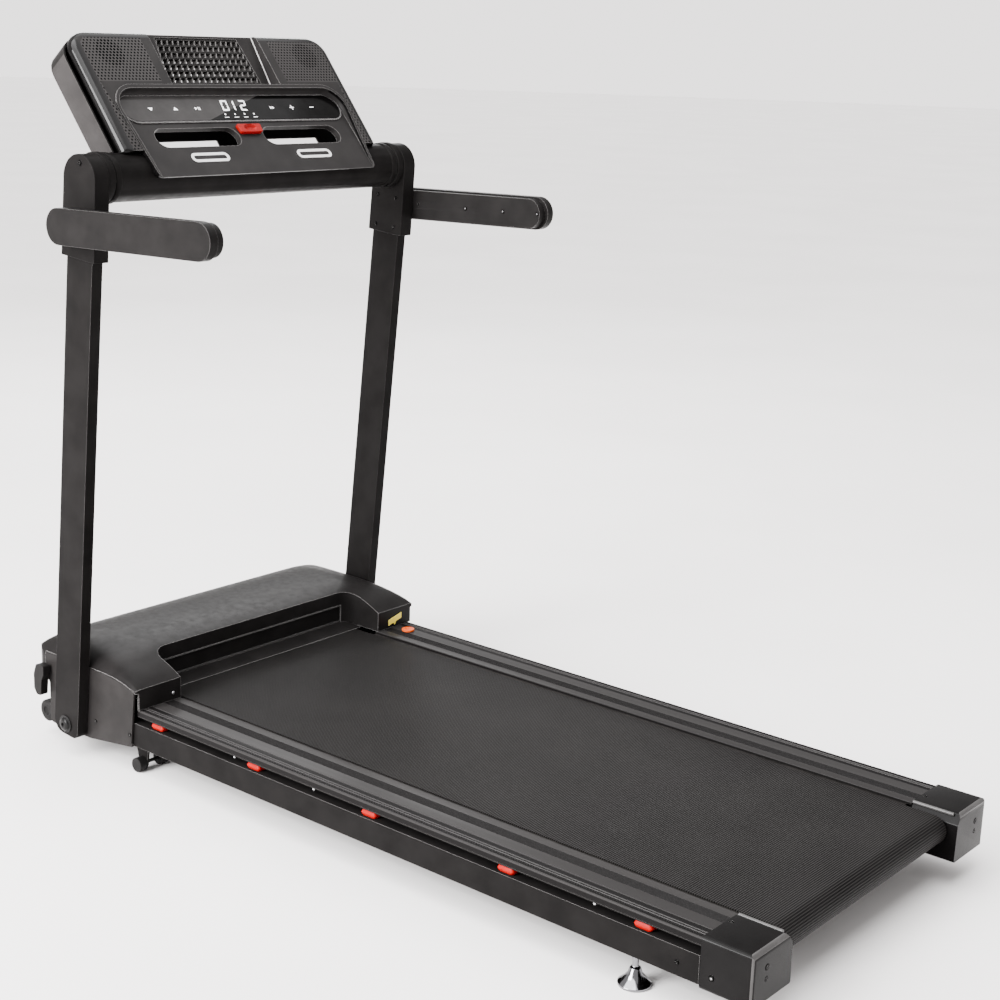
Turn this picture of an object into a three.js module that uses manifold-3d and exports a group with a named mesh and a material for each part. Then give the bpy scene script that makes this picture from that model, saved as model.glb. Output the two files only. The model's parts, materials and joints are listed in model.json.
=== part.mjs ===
// Folding home treadmill, in millimetres.
// +X is the runner's right, +Y is forward (towards the console), +Z is up.
// Sizes are written in the machine's own coordinates: y = 0 at the rear faces of
// the end caps and z = 0 on the floor. The whole machine is then shifted so that
// the origin is on the floor, in the middle of the footprint.
import * as THREE from 'three';
import { mergeVertices } from 'three/addons/utils/BufferGeometryUtils.js';
import Module from 'manifold-3d';

const wasm = await Module();
wasm.setup();

// ---------------------------------------------------------------- driving sizes
const gap = 0.4;                     // running clearance between neighbouring pieces
const machineFront = 1436;           // front face of the motor hood
const frameOuter = 323;              // half width over the two side tubes
const frameInner = 293;
const frameBottom = 49.5;
const frameTop = 89.5;
const frameEnd = 1390;               // front end of the side tubes
const tubeWall = 2;

const capLength = 76;                // rear end caps
const capTop = 116;
const capBottom = 43;

const railTop = 113;                 // foot rails
const railInner = 235;
const railOuter = 320;
const deckFront = 1168;              // front end of rails and board

const rollerRadius = 20.5;
const rollerZ = 87.7;
const rearRollerY = 36;
const tensionBoltZ = 90;
const frontRollerY = 1205;
const beltHalfWidth = 225;
const beltThickness = 1.6;

const armRear = 1162;                // rear faces of the hood's two arms
const hoodRear = 1239;               // rear face of the hood between the arms
const armInner = 235;
const coverOuter = 328;              // outer face of the plastic side covers

const postInner = 329.5;             // uprights: rectangular steel tubes
const postOuter = 349.5;
const postDepth = 62;
const postLean = 5.27;               // degrees, leaning back towards the runner
const foldY = 1320;                  // fold pivot of the uprights
const foldZ = 55;
const postBottom = 36;
const postTopZ = 928;

const consoleY = 1242;               // axis of the cross tube
const consoleZ = 956.5;
const crossTubeRadius = 37.5;
const bracketInner = 326;
const bracketOuter = 354;
const consoleTilt = 51;              // degrees between the console face and the floor
const faceHeight = 42;               // console face above the cross tube's axis
const podFloorHeight = 40.4;         // control pod's floor, above the cross tube's axis
const podSlope = 0.095;              // how much steeper the control pod's floor is

const gripInner = 355;
const gripSplit = 370;
const gripOuter = 385;
const gripZ = 887;                   // grip's centre line at its pivot
const gripRadius = 28;
const gripTilt = 1.3;                // degrees, rising towards the runner

const drivePulleyRadius = 32;
const motorPulleyRadius = 13;
const motorY = 1338;
const motorZ = 105;
const footY = 185;                   // rear levelling feet
const footX = 303;
const supportRollerY = 1180;         // small rollers that carry the front
const supportRollerRadius = 12;

const degrees = Math.PI / 180;

// ---------------------------------------------------------------- materials
function finish(color, roughness, metalness) {
  return new THREE.MeshStandardMaterial({ color, roughness, metalness });
}
const blackPaint = finish(0x232022, 0.45, 0.5);
const blackPlastic = finish(0x1e1c1d, 0.55, 0.0);
const greyPlastic = finish(0x4a4748, 0.5, 0.0);
const rubber = finish(0x141313, 0.85, 0.0);
const redElastomer = finish(0xd81e22, 0.5, 0.0);
const orangePlastic = finish(0xe8712a, 0.4, 0.0);
const steel = finish(0xb9babc, 0.3, 1.0);
const darkSteel = finish(0x55565a, 0.4, 1.0);
const board = finish(0x6d5138, 0.7, 0.0);
const beltFabric = finish(0x2b2a2a, 0.8, 0.0);
const glass = finish(0x0b0b0c, 0.08, 0.0);

// ---------------------------------------------------------------- shape helpers
function plainGeometry(geometry) {
  geometry.deleteAttribute('normal');
  geometry.deleteAttribute('uv');
  return mergeVertices(geometry, 1e-4);
}

function toSolid(geometry) {
  const merged = plainGeometry(geometry);
  const triVerts = new Uint32Array(merged.index.array);
  const vertProperties = new Float32Array(merged.attributes.position.array);
  return new wasm.Manifold(new wasm.Mesh({ numProp: 3, vertProperties, triVerts }));
}

function toGeometry(solid) {
  const result = solid.getMesh();
  const geometry = new THREE.BufferGeometry();
  geometry.setAttribute('position', new THREE.BufferAttribute(new Float32Array(result.vertProperties), 3));
  geometry.setIndex(new THREE.BufferAttribute(new Uint32Array(result.triVerts), 1));
  return geometry;
}

function outline(points) {
  return new THREE.Shape(points.map(([a, b]) => new THREE.Vector2(a, b)));
}

// A polygon with its corners rounded; a radius is given for each corner.
function rounded(points, radii, steps = 5) {
  const result = [];
  const count = points.length;
  for (let i = 0; i < count; i++) {
    const radius = Array.isArray(radii) ? radii[i] : radii;
    const corner = new THREE.Vector2(...points[i]);
    if (radius <= 0) {
      result.push([corner.x, corner.y]);
      continue;
    }
    const before = new THREE.Vector2(...points[(i + count - 1) % count]).sub(corner).normalize();
    const after = new THREE.Vector2(...points[(i + 1) % count]).sub(corner).normalize();
    const half = Math.acos(before.dot(after)) / 2;
    const reach = radius / Math.tan(half);
    const start = corner.clone().addScaledVector(before, reach);
    const end = corner.clone().addScaledVector(after, reach);
    const inward = before.clone().add(after).normalize();
    const centre = corner.clone().addScaledVector(inward, radius / Math.sin(half));
    const first = Math.atan2(start.y - centre.y, start.x - centre.x);
    let sweep = Math.atan2(end.y - centre.y, end.x - centre.x) - first;
    if (sweep > Math.PI) sweep -= 2 * Math.PI;
    if (sweep < -Math.PI) sweep += 2 * Math.PI;
    for (let k = 0; k <= steps; k++) {
      const angle = first + sweep * k / steps;
      result.push([centre.x + radius * Math.cos(angle), centre.y + radius * Math.sin(angle)]);
    }
  }
  return result;
}

// Prisms along each axis; the outline's two coordinates are the other two axes.
function prismX(points, x0, x1) {
  const geometry = new THREE.ExtrudeGeometry(outline(points), { depth: x1 - x0, bevelEnabled: false });
  const turn = new THREE.Matrix4().set(0, 0, 1, x0, 1, 0, 0, 0, 0, 1, 0, 0, 0, 0, 0, 1);
  return toSolid(geometry.applyMatrix4(turn));
}

function prismY(points, y0, y1) {
  const geometry = new THREE.ExtrudeGeometry(outline(points), { depth: y1 - y0, bevelEnabled: false });
  const turn = new THREE.Matrix4().set(1, 0, 0, 0, 0, 0, -1, y1, 0, 1, 0, 0, 0, 0, 0, 1);
  return toSolid(geometry.applyMatrix4(turn));
}

function prismZ(points, z0, z1) {
  const geometry = new THREE.ExtrudeGeometry(outline(points), { depth: z1 - z0, bevelEnabled: false });
  return toSolid(geometry.translate(0, 0, z0));
}

function block(x0, x1, y0, y1, z0, z1) {
  const geometry = new THREE.BoxGeometry(x1 - x0, y1 - y0, z1 - z0);
  return toSolid(geometry.translate((x0 + x1) / 2, (y0 + y1) / 2, (z0 + z1) / 2));
}

function rodX(radius, y, z, x0, x1, sides = 24) {
  const geometry = new THREE.CylinderGeometry(radius, radius, x1 - x0, sides);
  return toSolid(geometry.rotateZ(-Math.PI / 2).translate((x0 + x1) / 2, y, z));
}

function rodY(radius, x, z, y0, y1, sides = 16) {
  const geometry = new THREE.CylinderGeometry(radius, radius, y1 - y0, sides);
  return toSolid(geometry.translate(x, (y0 + y1) / 2, z));
}

function rodZ(radius, x, y, z0, z1, sides = 20) {
  const geometry = new THREE.CylinderGeometry(radius, radius, z1 - z0, sides);
  return toSolid(geometry.rotateX(Math.PI / 2).translate(x, y, (z0 + z1) / 2));
}

// A turned piece around the X axis through (y, z): profile holds [x, radius].
function turnedX(profile, y, z, sides = 28) {
  const closed = profile.concat([profile[0]]);
  const geometry = new THREE.LatheGeometry(closed.map(([x, r]) => new THREE.Vector2(r, x)), sides);
  return toSolid(geometry.rotateZ(-Math.PI / 2).translate(0, y, z));
}

function turnedZ(profile, x, y, sides = 28) {
  const geometry = new THREE.LatheGeometry(profile.map(([z, r]) => new THREE.Vector2(r, z)), sides);
  return toSolid(geometry.rotateX(Math.PI / 2).translate(x, y, 0));
}

// Mirror a solid to the other side of the machine.
function sided(solid, side) {
  return side > 0 ? solid : solid.mirror([1, 0, 0]);
}

const sides = [['left', -1], ['right', 1]];

// ---------------------------------------------------------------- assembly root
const treadmill = new THREE.Group();
const machine = new THREE.Group();
machine.position.y = -machineFront / 2;
treadmill.add(machine);

function addPiece(name, solid, material, parent = machine) {
  const mesh = new THREE.Mesh(toGeometry(solid), material);
  mesh.name = name;
  parent.add(mesh);
  return mesh;
}

// ---------------------------------------------------------------- steel base frame
// Two rectangular side tubes, open at the ends, tied by shallow channels that
// pass under the belt, with plates for the front rollers and transport wheels.
function baseFrame() {
  const outer = block(frameInner, frameOuter, capLength + gap, frameEnd, frameBottom, frameTop);
  const bore = block(frameInner + tubeWall, frameOuter - tubeWall, 0, frameEnd + 10,
    frameBottom + tubeWall, frameTop - tubeWall);
  const footNutHole = rodZ(4.8, footX, footY, frameBottom - 1, frameBottom + 3);
  let sideTube = outer.subtract(bore).subtract(footNutHole);
  const supportPlate = prismX(rounded([[1166, 50], [1200, 50], [1188, 5], [1172, 5]], [0, 0, 6, 6]), 297, 301);
  sideTube = sideTube.add(supportPlate);
  sideTube = sideTube.subtract(rodX(3.5, supportRollerY, supportRollerRadius, 290, 305, 16));
  const wheelPlate = prismX(rounded([[1370, 87], [1400, 87], [1430, 50], [1424, 29], [1406, 29], [1370, 60]], 5), 293.6, 296.6);
  sideTube = sideTube.add(wheelPlate).subtract(rodX(4.5, 1418, 42, 290, 305, 16));
  let frame = sideTube.add(sideTube.mirror([1, 0, 0]));
  for (const y of [110, 610, 1110, 1348]) {
    const channel = block(-frameInner - 1, frameInner + 1, y, y + 40, frameBottom + 0.8, frameBottom + 12);
    const hollow = block(-frameInner + 6, frameInner - 6, y + 2, y + 38, frameBottom - 1, frameBottom + 10);
    frame = frame.add(channel.subtract(hollow));
  }
  return frame;
}
addPiece('base_frame', baseFrame(), blackPaint);

// Pressed pan that closes the motor bay from below, with cooling slots.
function bellyPan() {
  let pan = block(-288, 288, 1172, 1388, 46, 49.1);
  for (let i = 0; i < 6; i++) {
    const y = 1290 + i * 14;
    pan = pan.subtract(block(-200, -60, y, y + 5, 40, 55));
  }
  return pan;
}
addPiece('belly_pan', bellyPan(), blackPaint);

// ---------------------------------------------------------------- deck and cushions
function footRail() {
  const profile = rounded([[railInner, 108.6], [292, 108.6], [292, 100], [railOuter, 100],
    [railOuter, railTop], [railInner, railTop]], [0, 0, 0, 1.5, 3, 1.5], 3);
  return prismY(profile, capLength + gap, deckFront);
}

function oilPort() {
  return rodZ(9.5, 280, 1128, 104, 120, 24);
}

for (const [name, side] of sides) {
  const rail = side > 0 ? footRail().subtract(oilPort()) : footRail();
  addPiece(`foot_rail_${name}`, sided(rail, side), blackPaint);
}
addPiece('deck_board', block(-291.5, 291.5, 84, deckFront, 93.2, 108.2)
  .subtract(rodZ(9.5, 280, 1128, 98, 120, 24)), board);

function cushion(y) {
  const section = rounded([[-13, frameTop + gap], [13, frameTop + gap], [10, 100 - gap], [-10, 100 - gap]], 1.5, 2);
  return prismX(section.map(([a, b]) => [a + y, b]), 297, 319);
}
const cushionRows = [167, 395, 652, 896, 1122];
for (const [name, side] of sides) {
  cushionRows.forEach((y, i) => {
    addPiece(`cushion_${name}_${i + 1}`, sided(cushion(y), side), redElastomer);
  });
}

// Orange plug of the lubricant port in the right foot rail.
addPiece('oil_cap', rodZ(8.8, 280, 1128, 99, 113.5, 24).add(rodZ(11.5, 280, 1128, 113.4, 117, 24)), orangePlastic);

// ---------------------------------------------------------------- rollers and belt
function rearRoller() {
  const half = beltHalfWidth + 2;
  return turnedX([[-half, 8.6], [-half, rollerRadius], [half, rollerRadius], [half, 8.6],
    [half - 14, 8.6], [half - 14, 17.5], [14 - half, 17.5], [14 - half, 8.6]], rearRollerY, rollerZ);
}

function frontRoller() {
  const half = beltHalfWidth + 2;
  const pulley = -half - 14;
  return turnedX([[pulley - 20, 8.6], [pulley - 20, drivePulleyRadius], [pulley, drivePulleyRadius],
    [pulley, rollerRadius], [half, rollerRadius], [half, 8.6], [half - 14, 8.6], [half - 14, 17.5],
    [14 - half, 17.5], [14 - half, 8.6]], frontRollerY, rollerZ, 32);
}

function loop(y0, z0, r0, y1, z1, r1, steps = 14) {
  // Outer tangent outline around two circles, running counter-clockwise.
  const away = Math.atan2(z1 - z0, y1 - y0);
  const distance = Math.hypot(z1 - z0, y1 - y0);
  const spread = Math.acos((r0 - r1) / distance);
  const points = [];
  for (let i = 0; i <= steps; i++) {
    const angle = away - spread + 2 * spread * i / steps;
    points.push([y1 + r1 * Math.cos(angle), z1 + r1 * Math.sin(angle)]);
  }
  for (let i = 0; i <= steps; i++) {
    const angle = away + spread + (2 * Math.PI - 2 * spread) * i / steps;
    points.push([y0 + r0 * Math.cos(angle), z0 + r0 * Math.sin(angle)]);
  }
  return points;
}

function strap(y0, z0, r0, y1, z1, r1, thickness, x0, x1, steps) {
  const inner = prismX(loop(y0, z0, r0, y1, z1, r1, steps), x0 - 1, x1 + 1);
  const outer = prismX(loop(y0, z0, r0 + thickness, y1, z1, r1 + thickness, steps), x0, x1);
  return outer.subtract(inner);
}

addPiece('rear_roller', rearRoller(), steel);
addPiece('rear_axle', rodX(8, rearRollerY, rollerZ, -299, 299, 20), steel);
addPiece('front_roller', frontRoller(), steel);
addPiece('front_axle', rodX(8, frontRollerY, rollerZ, gap - frameInner, frameInner - gap, 20), steel);
addPiece('walking_belt', strap(rearRollerY, rollerZ, rollerRadius + 0.4, frontRollerY, rollerZ,
  rollerRadius + 0.4, beltThickness, -beltHalfWidth, beltHalfWidth, 20), beltFabric);

// ---------------------------------------------------------------- rear end caps
function endCap() {
  const section = rounded([[229, capBottom], [frameOuter, capBottom], [frameOuter, capTop], [242, capTop],
    [231, 100]], [3, 5, 7, 7, 4], 4);
  let cap = prismY(section, 0, capLength);
  // The rear top edge is rolled over.
  cap = cap.intersect(prismX(rounded([[0, 40], [capLength, 40], [capLength, 117], [0, 117]],
    [4, 0, 0, 11], 5), 200, 330));
  const axleHole = rodX(8.6, rearRollerY, rollerZ, 220, 300, 20);
  const boltHole = rodY(4.6, 290, tensionBoltZ, -2, rearRollerY);
  const headPocket = rodY(8, 290, tensionBoltZ, -2, 9);
  const lowerHole = rodY(3.5, 290, 74, -2, 14);
  return cap.subtract(axleHole).subtract(boltHole).subtract(headPocket).subtract(lowerHole);
}

function tensionBolt() {
  const shank = rodY(4, 290, tensionBoltZ, 4, rearRollerY - 8 - gap);
  const head = rodY(7, 290, tensionBoltZ, 1.5, 8.5, 24);
  return shank.add(head).subtract(rodY(3.2, 290, tensionBoltZ, 0, 5, 6));
}

for (const [name, side] of sides) {
  addPiece(`end_cap_${name}`, sided(endCap(), side), blackPlastic);
  addPiece(`tension_bolt_${name}`, sided(tensionBolt(), side), steel);
}

// ---------------------------------------------------------------- feet and wheels
function levellingFoot() {
  return turnedZ([[0, 0], [0, 23], [3, 23], [8, 17], [16, 10], [24, 7.5], [26, 4.3], [66, 4.3], [66, 0]], footX, footY);
}

function supportRoller() {
  // A twin roller: one wheel on each side of the plate that carries the pin.
  const outerWheel = rodX(supportRollerRadius, supportRollerY, supportRollerRadius, 301.5, 316, 24);
  const innerWheel = rodX(supportRollerRadius, supportRollerY, supportRollerRadius, 257, 271.5, 24);
  const pin = rodX(3, supportRollerY, supportRollerRadius, 270, 303, 12);
  return outerWheel.add(innerWheel).add(pin);
}

function transportWheel() {
  const wheel = turnedX([[297, 0], [297, 15], [299, 19], [315, 19], [317, 15], [317, 8], [315, 7], [315, 0]], 1418, 42, 28);
  const pin = rodX(4, 1418, 42, 290, 299, 16);
  const head = rodX(7, 1418, 42, 288, 292.5, 16);
  return wheel.add(pin).add(head);
}

for (const [name, side] of sides) {
  addPiece(`rear_foot_${name}`, sided(levellingFoot(), side), steel);
  addPiece(`support_roller_${name}`, sided(supportRoller(), side), rubber);
  addPiece(`transport_wheel_${name}`, sided(transportWheel(), side), rubber);
}

// ---------------------------------------------------------------- motor bay
function motorBody() {
  const can = turnedX([[-222, 0], [-222, 30], [-216, 40], [-205, 44], [-75, 44], [-64, 40], [-58, 30], [-58, 0]],
    motorY, motorZ, 32);
  const shaftHole = rodX(8.5, motorY, motorZ, -230, -200, 16);
  return can.subtract(shaftHole);
}

function motorRotor() {
  const shaft = rodX(7, motorY, motorZ, -262, -203, 16);
  const pulley = rodX(motorPulleyRadius, motorY, motorZ, -261, -241, 24);
  const flywheel = rodX(38, motorY, motorZ, -237, -225, 32);
  return shaft.add(pulley).add(flywheel);
}

function motorMount() {
  const base = block(-200, -80, 1351, 1389, 61.9, 65);
  const saddle = block(-190, -90, 1351, 1384, 61.9, 90);
  const motorSpace = rodX(44.5, motorY, motorZ, -210, -70, 32);
  return base.add(saddle).subtract(motorSpace);
}

function motorController() {
  let heatSink = block(40, 230, 1300, 1345, 53, 95);
  for (let i = 0; i < 8; i++) {
    heatSink = heatSink.subtract(block(52 + i * 22, 64 + i * 22, 1290, 1350, 80, 100));
  }
  return heatSink;
}

addPiece('motor_body', motorBody(), darkSteel);
addPiece('motor_rotor', motorRotor(), steel);
addPiece('motor_mount', motorMount(), blackPaint);
addPiece('drive_belt', strap(frontRollerY, rollerZ, drivePulleyRadius + 0.5, motorY, motorZ,
  motorPulleyRadius + 0.5, 2.6, -259, -243, 16), rubber);
addPiece('motor_controller', motorController(), darkSteel);

// ---------------------------------------------------------------- hood and covers
// The hood is the meeting of a side profile and a front section, hollowed to a
// thin shell that is open underneath.
function hoodOuter(inset) {
  const r = armRear + inset;
  const f = machineFront - inset;
  const t = -inset;
  const profile = [[r, 20], [f, 20], [f, 130], [f - 5, 155 + t], [f - 20, 174 + t], [f - 45, 187 + t],
    [f - 86, 191.5 + t], [1300, 187 + t], [1240, 175.5 + t], [1210, 167.5 + t], [1186, 158.5 + t],
    [r + 8, 150 + t], [r, 146 + t]];
  const w = coverOuter - inset;
  const section = [[-w, 20], [w, 20], [w, 150 + t], [w - 10, 165 + t], [w - 34, 178.5 + t], [w - 70, 187.5 + t],
    [w - 110, 192 + t], [110 - w, 192 + t], [70 - w, 187.5 + t], [34 - w, 178.5 + t], [10 - w, 165 + t],
    [-w, 150 + t]];
  const plan = rounded([[-w, r], [w, r], [w, f], [-w, f]], [0, 0, 36 - inset, 36 - inset], 5);
  return prismX(profile, -w, w).intersect(prismY(section, r, f)).intersect(prismZ(plan, 10, 230));
}

function bay(inset) {
  // The space between the arms, where the belt runs out of the hood.
  const half = armInner + inset;
  return block(-half, half, armRear - 20, hoodRear + inset, 0, 240);
}

function hood() {
  let shell = hoodOuter(0).subtract(bay(0));
  const hollow = hoodOuter(3).subtract(bay(3));
  shell = shell.subtract(hollow);
  // Underside: arms stand just above the rails, the rest ends above the belt.
  shell = shell.subtract(block(-400, 400, 1100, hoodRear + 5, 0, railTop + 0.6));
  shell = shell.subtract(block(-400, 400, 1100, 1500, 0, frameBottom));
  // The side covers close the flanks below the seam.
  for (const side of [-1, 1]) {
    const seam = prismX([[1100, 0], [1402, 0], [1402, 157], [1275, 157], [1100, 142]], 322, 340);
    shell = shell.subtract(sided(seam, side));
    // The front corners stop above the transport wheels and the lock lever.
    shell = shell.subtract(sided(block(290, 400, 1340, 1500, 0, 108), side));
  }
  // Openings for the power inlet, the switch and the breaker button.
  shell = shell.subtract(block(176.6, 205.4, 1400, 1500, 71.6, 96.4));
  shell = shell.subtract(block(221.6, 246.4, 1400, 1500, 71.6, 96.4));
  shell = shell.subtract(rodY(7.5, 156, 84, 1400, 1500));
  return shell;
}
addPiece('hood', hood(), blackPlastic);

function sideCover() {
  const edge = rounded([[armRear, 50], [1285, 33], [1392, 33], [1392, 105], [1401, 112], [1401, 156.4],
    [1275, 156.4], [armRear, 145.6]], [3, 20, 8, 0, 0, 0, 0, 0], 4);
  const plate = prismX(edge, frameOuter + gap, coverOuter);
  return plate.subtract(rodX(9, foldY, foldZ, 320, 330, 24));
}
for (const [name, side] of sides) {
  addPiece(`side_cover_${name}`, sided(sideCover(), side), greyPlastic);
}

// ---------------------------------------------------------------- power fittings
function powerInlet() {
  const bodyBlock = block(177, 205, machineFront - 26, machineFront + gap - 1, 72, 96);
  const flange = block(173, 209, machineFront - 6, machineFront - 3 - gap, 68, 100);
  let inlet = bodyBlock.add(flange).subtract(block(180, 202, machineFront - 20, machineFront + 5, 75, 93));
  for (const [x, z] of [[185, 82], [197, 82], [191, 88]]) {
    inlet = inlet.add(block(x - 1, x + 1, machineFront - 21, machineFront - 5, z - 2.5, z + 2.5));
  }
  return inlet;
}
addPiece('power_inlet', powerInlet(), blackPlastic);

function powerSwitch() {
  const rocker = [[machineFront - 12, 74], [machineFront - 12, 94], [machineFront - 0.5, 94.6],
    [machineFront - 2.5, 84], [machineFront - 0.5, 73.4]];
  return prismX(rocker, 223.5, 244.5);
}
addPiece('power_switch', powerSwitch(), redElastomer);
addPiece('reset_button', rodY(6.5, 156, 84, machineFront - 10, machineFront - 0.4), blackPlastic);

// ---------------------------------------------------------------- uprights
// The post's own frame has its origin at the fold pivot and Z along the post.
function postOutline(clearance, low, high) {
  const h = postDepth / 2 + clearance;
  return [[-h, low], [h, low], [h, high], [-h, high]];
}
const postLow = (postBottom - foldZ) / Math.cos(postLean * degrees);
const postHigh = (postTopZ - foldZ) / Math.cos(postLean * degrees);

function leaned(solid) {
  return solid.rotate([postLean, 0, 0]).translate([0, foldY, foldZ]);
}

function upright() {
  const outer = prismX(rounded(postOutline(0, postLow, postHigh), [12, 22, 0, 0]), postInner, postOuter);
  const inner = prismX(postOutline(-1.8, postLow + 44, postHigh + 10), postInner + 1.8, postOuter - 1.8);
  const pivotHole = rodX(8.6, 0, 0, postInner - 2, postOuter + 2, 24);
  return leaned(outer.subtract(inner).subtract(pivotHole));
}

function pivotBolt() {
  const shank = rodX(8, foldY, foldZ, frameOuter + gap, 351, 24);
  const washer = rodX(15, foldY, foldZ, postOuter + gap, 351.6, 28);
  const head = turnedX([[351, 0], [351, 11.5], [354.5, 10.5], [356.5, 7], [356.5, 0]], foldY, foldZ, 24);
  const socket = rodX(4, foldY, foldZ, 353.5, 358, 6);
  return shank.add(washer).add(head).subtract(socket);
}

// Head bracket: a sleeve over the post with a round top around the cross tube.
function headBracket() {
  const low = (836 - foldZ) / Math.cos(postLean * degrees);
  const sleeve = leaned(prismX([[-40, low], [40, low], [38.5, 905], [-38.5, 905]], bracketInner, bracketOuter));
  const top = rodX(38.5, consoleY - 3, consoleZ, bracketInner, bracketOuter, 48);
  const post = leaned(prismX(postOutline(0.5, 700, postHigh + 1), postInner - 0.5, postOuter + 0.5));
  const pivotSeat = rodX(12.6, gripPivotY, gripZ, 351.6, 360, 28);
  return sleeve.add(top).subtract(post).subtract(pivotSeat);
}
const gripPivotY = foldY - (gripZ - foldZ) * Math.tan(postLean * degrees);

for (const [name, side] of sides) {
  addPiece(`upright_${name}`, sided(upright(), side), blackPaint);
  addPiece(`pivot_bolt_${name}`, sided(pivotBolt(), side), steel);
  addPiece(`head_bracket_${name}`, sided(headBracket(), side), blackPaint);
}

// Spring-loaded hook lever that locks the left upright in its standing position.
function lockLever() {
  const blade = prismX(rounded([[1384, 138], [1404, 138], [1411, 120], [1411, 94], [1404, 84], [1393, 84],
    [1390, 112], [1384, 122]], 3, 3), 331, 346);
  const pin = rodX(4, 1396, 128, 329, 333, 16);
  return blade.add(pin);
}
addPiece('lock_lever', sided(lockLever(), -1), blackPlastic);

// ---------------------------------------------------------------- cross tube
function crossTube() {
  const end = bracketInner - gap;
  const half = [[296, crossTubeRadius], [299, crossTubeRadius], [300, 39.5], [309, 39.5], [310, 37.5], [312, 37.5],
    [313, 40.5], [end - 1, 40.5], [end, 39.5]];
  const outside = half.slice().reverse().map(([x, r]) => [-x, r]).concat(half);
  const bore = crossTubeRadius - 2.2;
  const profile = outside.concat([[end, bore], [-end, bore]]);
  return turnedX(profile, consoleY, consoleZ, 48);
}
addPiece('cross_tube', crossTube(), blackPaint);

// ---------------------------------------------------------------- hand grips
// Each grip is two stadium shaped shells, an inner and a slightly longer outer.
function gripOutline(radius, rearY, frontY) {
  const length = frontY - rearY;
  return rounded([[0, -radius], [length, -radius], [length, radius], [0, radius]], radius - 0.01, 8)
    .map(([a, b]) => [a + rearY, b]);
}

function gripPlaced(solid) {
  const pivot = [0, -gripPivotY, 0];
  return solid.translate(pivot).rotate([-gripTilt, 0, 0]).translate([0, gripPivotY, gripZ]);
}

function gripInnerShell() {
  const plate = prismX(gripOutline(gripRadius - 3, 912, 1276), gripInner, gripSplit - 0.2);
  const boss = rodX(12, gripPivotY, 0, 352, gripInner + 2, 28);
  return gripPlaced(plate.add(boss));
}

function gripOuterShell() {
  return gripPlaced(prismX(gripOutline(gripRadius, 906, 1281), gripSplit + 0.2, gripOuter));
}

for (const [name, side] of sides) {
  addPiece(`grip_inner_${name}`, sided(gripInnerShell(), side), blackPlastic);
  addPiece(`grip_outer_${name}`, sided(gripOuterShell(), side), blackPlastic);
}

// ---------------------------------------------------------------- console
// The console has its own frame on the cross tube's axis: x across, y up along
// the face, z out of the face towards the runner.
const consoleHead = new THREE.Group();
consoleHead.position.set(0, consoleY, consoleZ);
consoleHead.rotation.x = consoleTilt * degrees;
machine.add(consoleHead);

const podOutline = [[-238, -32], [238, -32], [254, 98], [240, 130], [209, 143], [-209, 143], [-240, 130], [-254, 98]];
const podInner = [[-231, -40], [231, -40], [247, 98], [235, 125], [207, 136], [-207, 136], [-235, 125], [-247, 98]];

function stadium(x0, x1, y0, y1) {
  return rounded([[x0, y0], [x1, y0], [x1, y1], [x0, y1]], (y1 - y0) / 2 - 0.01, 8);
}

function handSlots(grow, z0, z1) {
  const slot = prismZ(stadium(27 - grow, 202 + grow, 26 - grow, 64 + grow), z0, z1);
  return slot.add(slot.mirror([1, 0, 0]));
}

function consoleBack() {
  const face = rounded([[-285, 16], [285, 16], [285, 247], [-285, 247]], [8, 8, 42, 42], 6);
  const inside = rounded([[-281, 20], [281, 20], [281, 243], [-281, 243]], [5, 5, 38, 38], 6);
  let shell = prismZ(face, -21, 22).subtract(prismZ(inside, -17.5, 30));
  const tubeSpace = rodX(crossTubeRadius + 0.7, 0, 0, -300, 300, 48);
  shell = shell.subtract(tubeSpace);
  // Windows behind the hand slots and behind the tablet grille.
  for (const side of [-1, 1]) {
    shell = shell.subtract(sided(block(22, 207, 24, 76, -30, 5), side));
  }
  shell = shell.subtract(block(-98, 98, 152, 240, -30, 0));
  // Notch in the top wall for the tablet tray.
  return shell.subtract(block(-121.5, 121.5, 238, 250, 14.6, 30));
}

function podFloorCut() {
  // Everything in front of the pod's sloping floor.
  const floorAt = (y) => podFloorHeight - podSlope * y;
  const wedge = prismX([[-60, floorAt(-60)], [150, floorAt(150)], [150, 80], [-60, 80]], -300, 300);
  return wedge.intersect(prismZ(podInner, 0, 80));
}

function consoleFace() {
  const panel = rounded([[-277, 20], [277, 20], [277, 250], [-277, 250]], [6, 6, 38, 38], 6);
  let face = prismZ(panel, 24.6, faceHeight);
  face = face.add(prismZ(podOutline, 24.6, faceHeight + 2));
  face = face.add(block(-121, 121, 141, 249, 15, 30));
  face = face.subtract(podFloorCut());
  // Tablet tray: shallow at the top edge and deeper at its foot.
  const tray = prismX([[144.5, faceHeight - 22], [260, faceHeight - 9], [260, 80], [144.5, 80]], -118, 118);
  face = face.subtract(tray);
  const trayWindow = prismZ([[-100, 149], [100, 149], [84, 245], [-84, 245]], 0, 60);
  face = face.subtract(trayWindow).subtract(handSlots(0, 0, 80));
  return face.subtract(rodX(crossTubeRadius + 0.7, 0, 0, -300, 300, 48));
}

function displayPanel() {
  const panel = prismZ(stadium(-238, 238, 78, 130), 0.3, 2.6);
  const slope = Math.atan(podSlope) / degrees;
  return panel.rotate([-slope, 0, 0]).translate([0, 0, podFloorHeight]);
}

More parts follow.
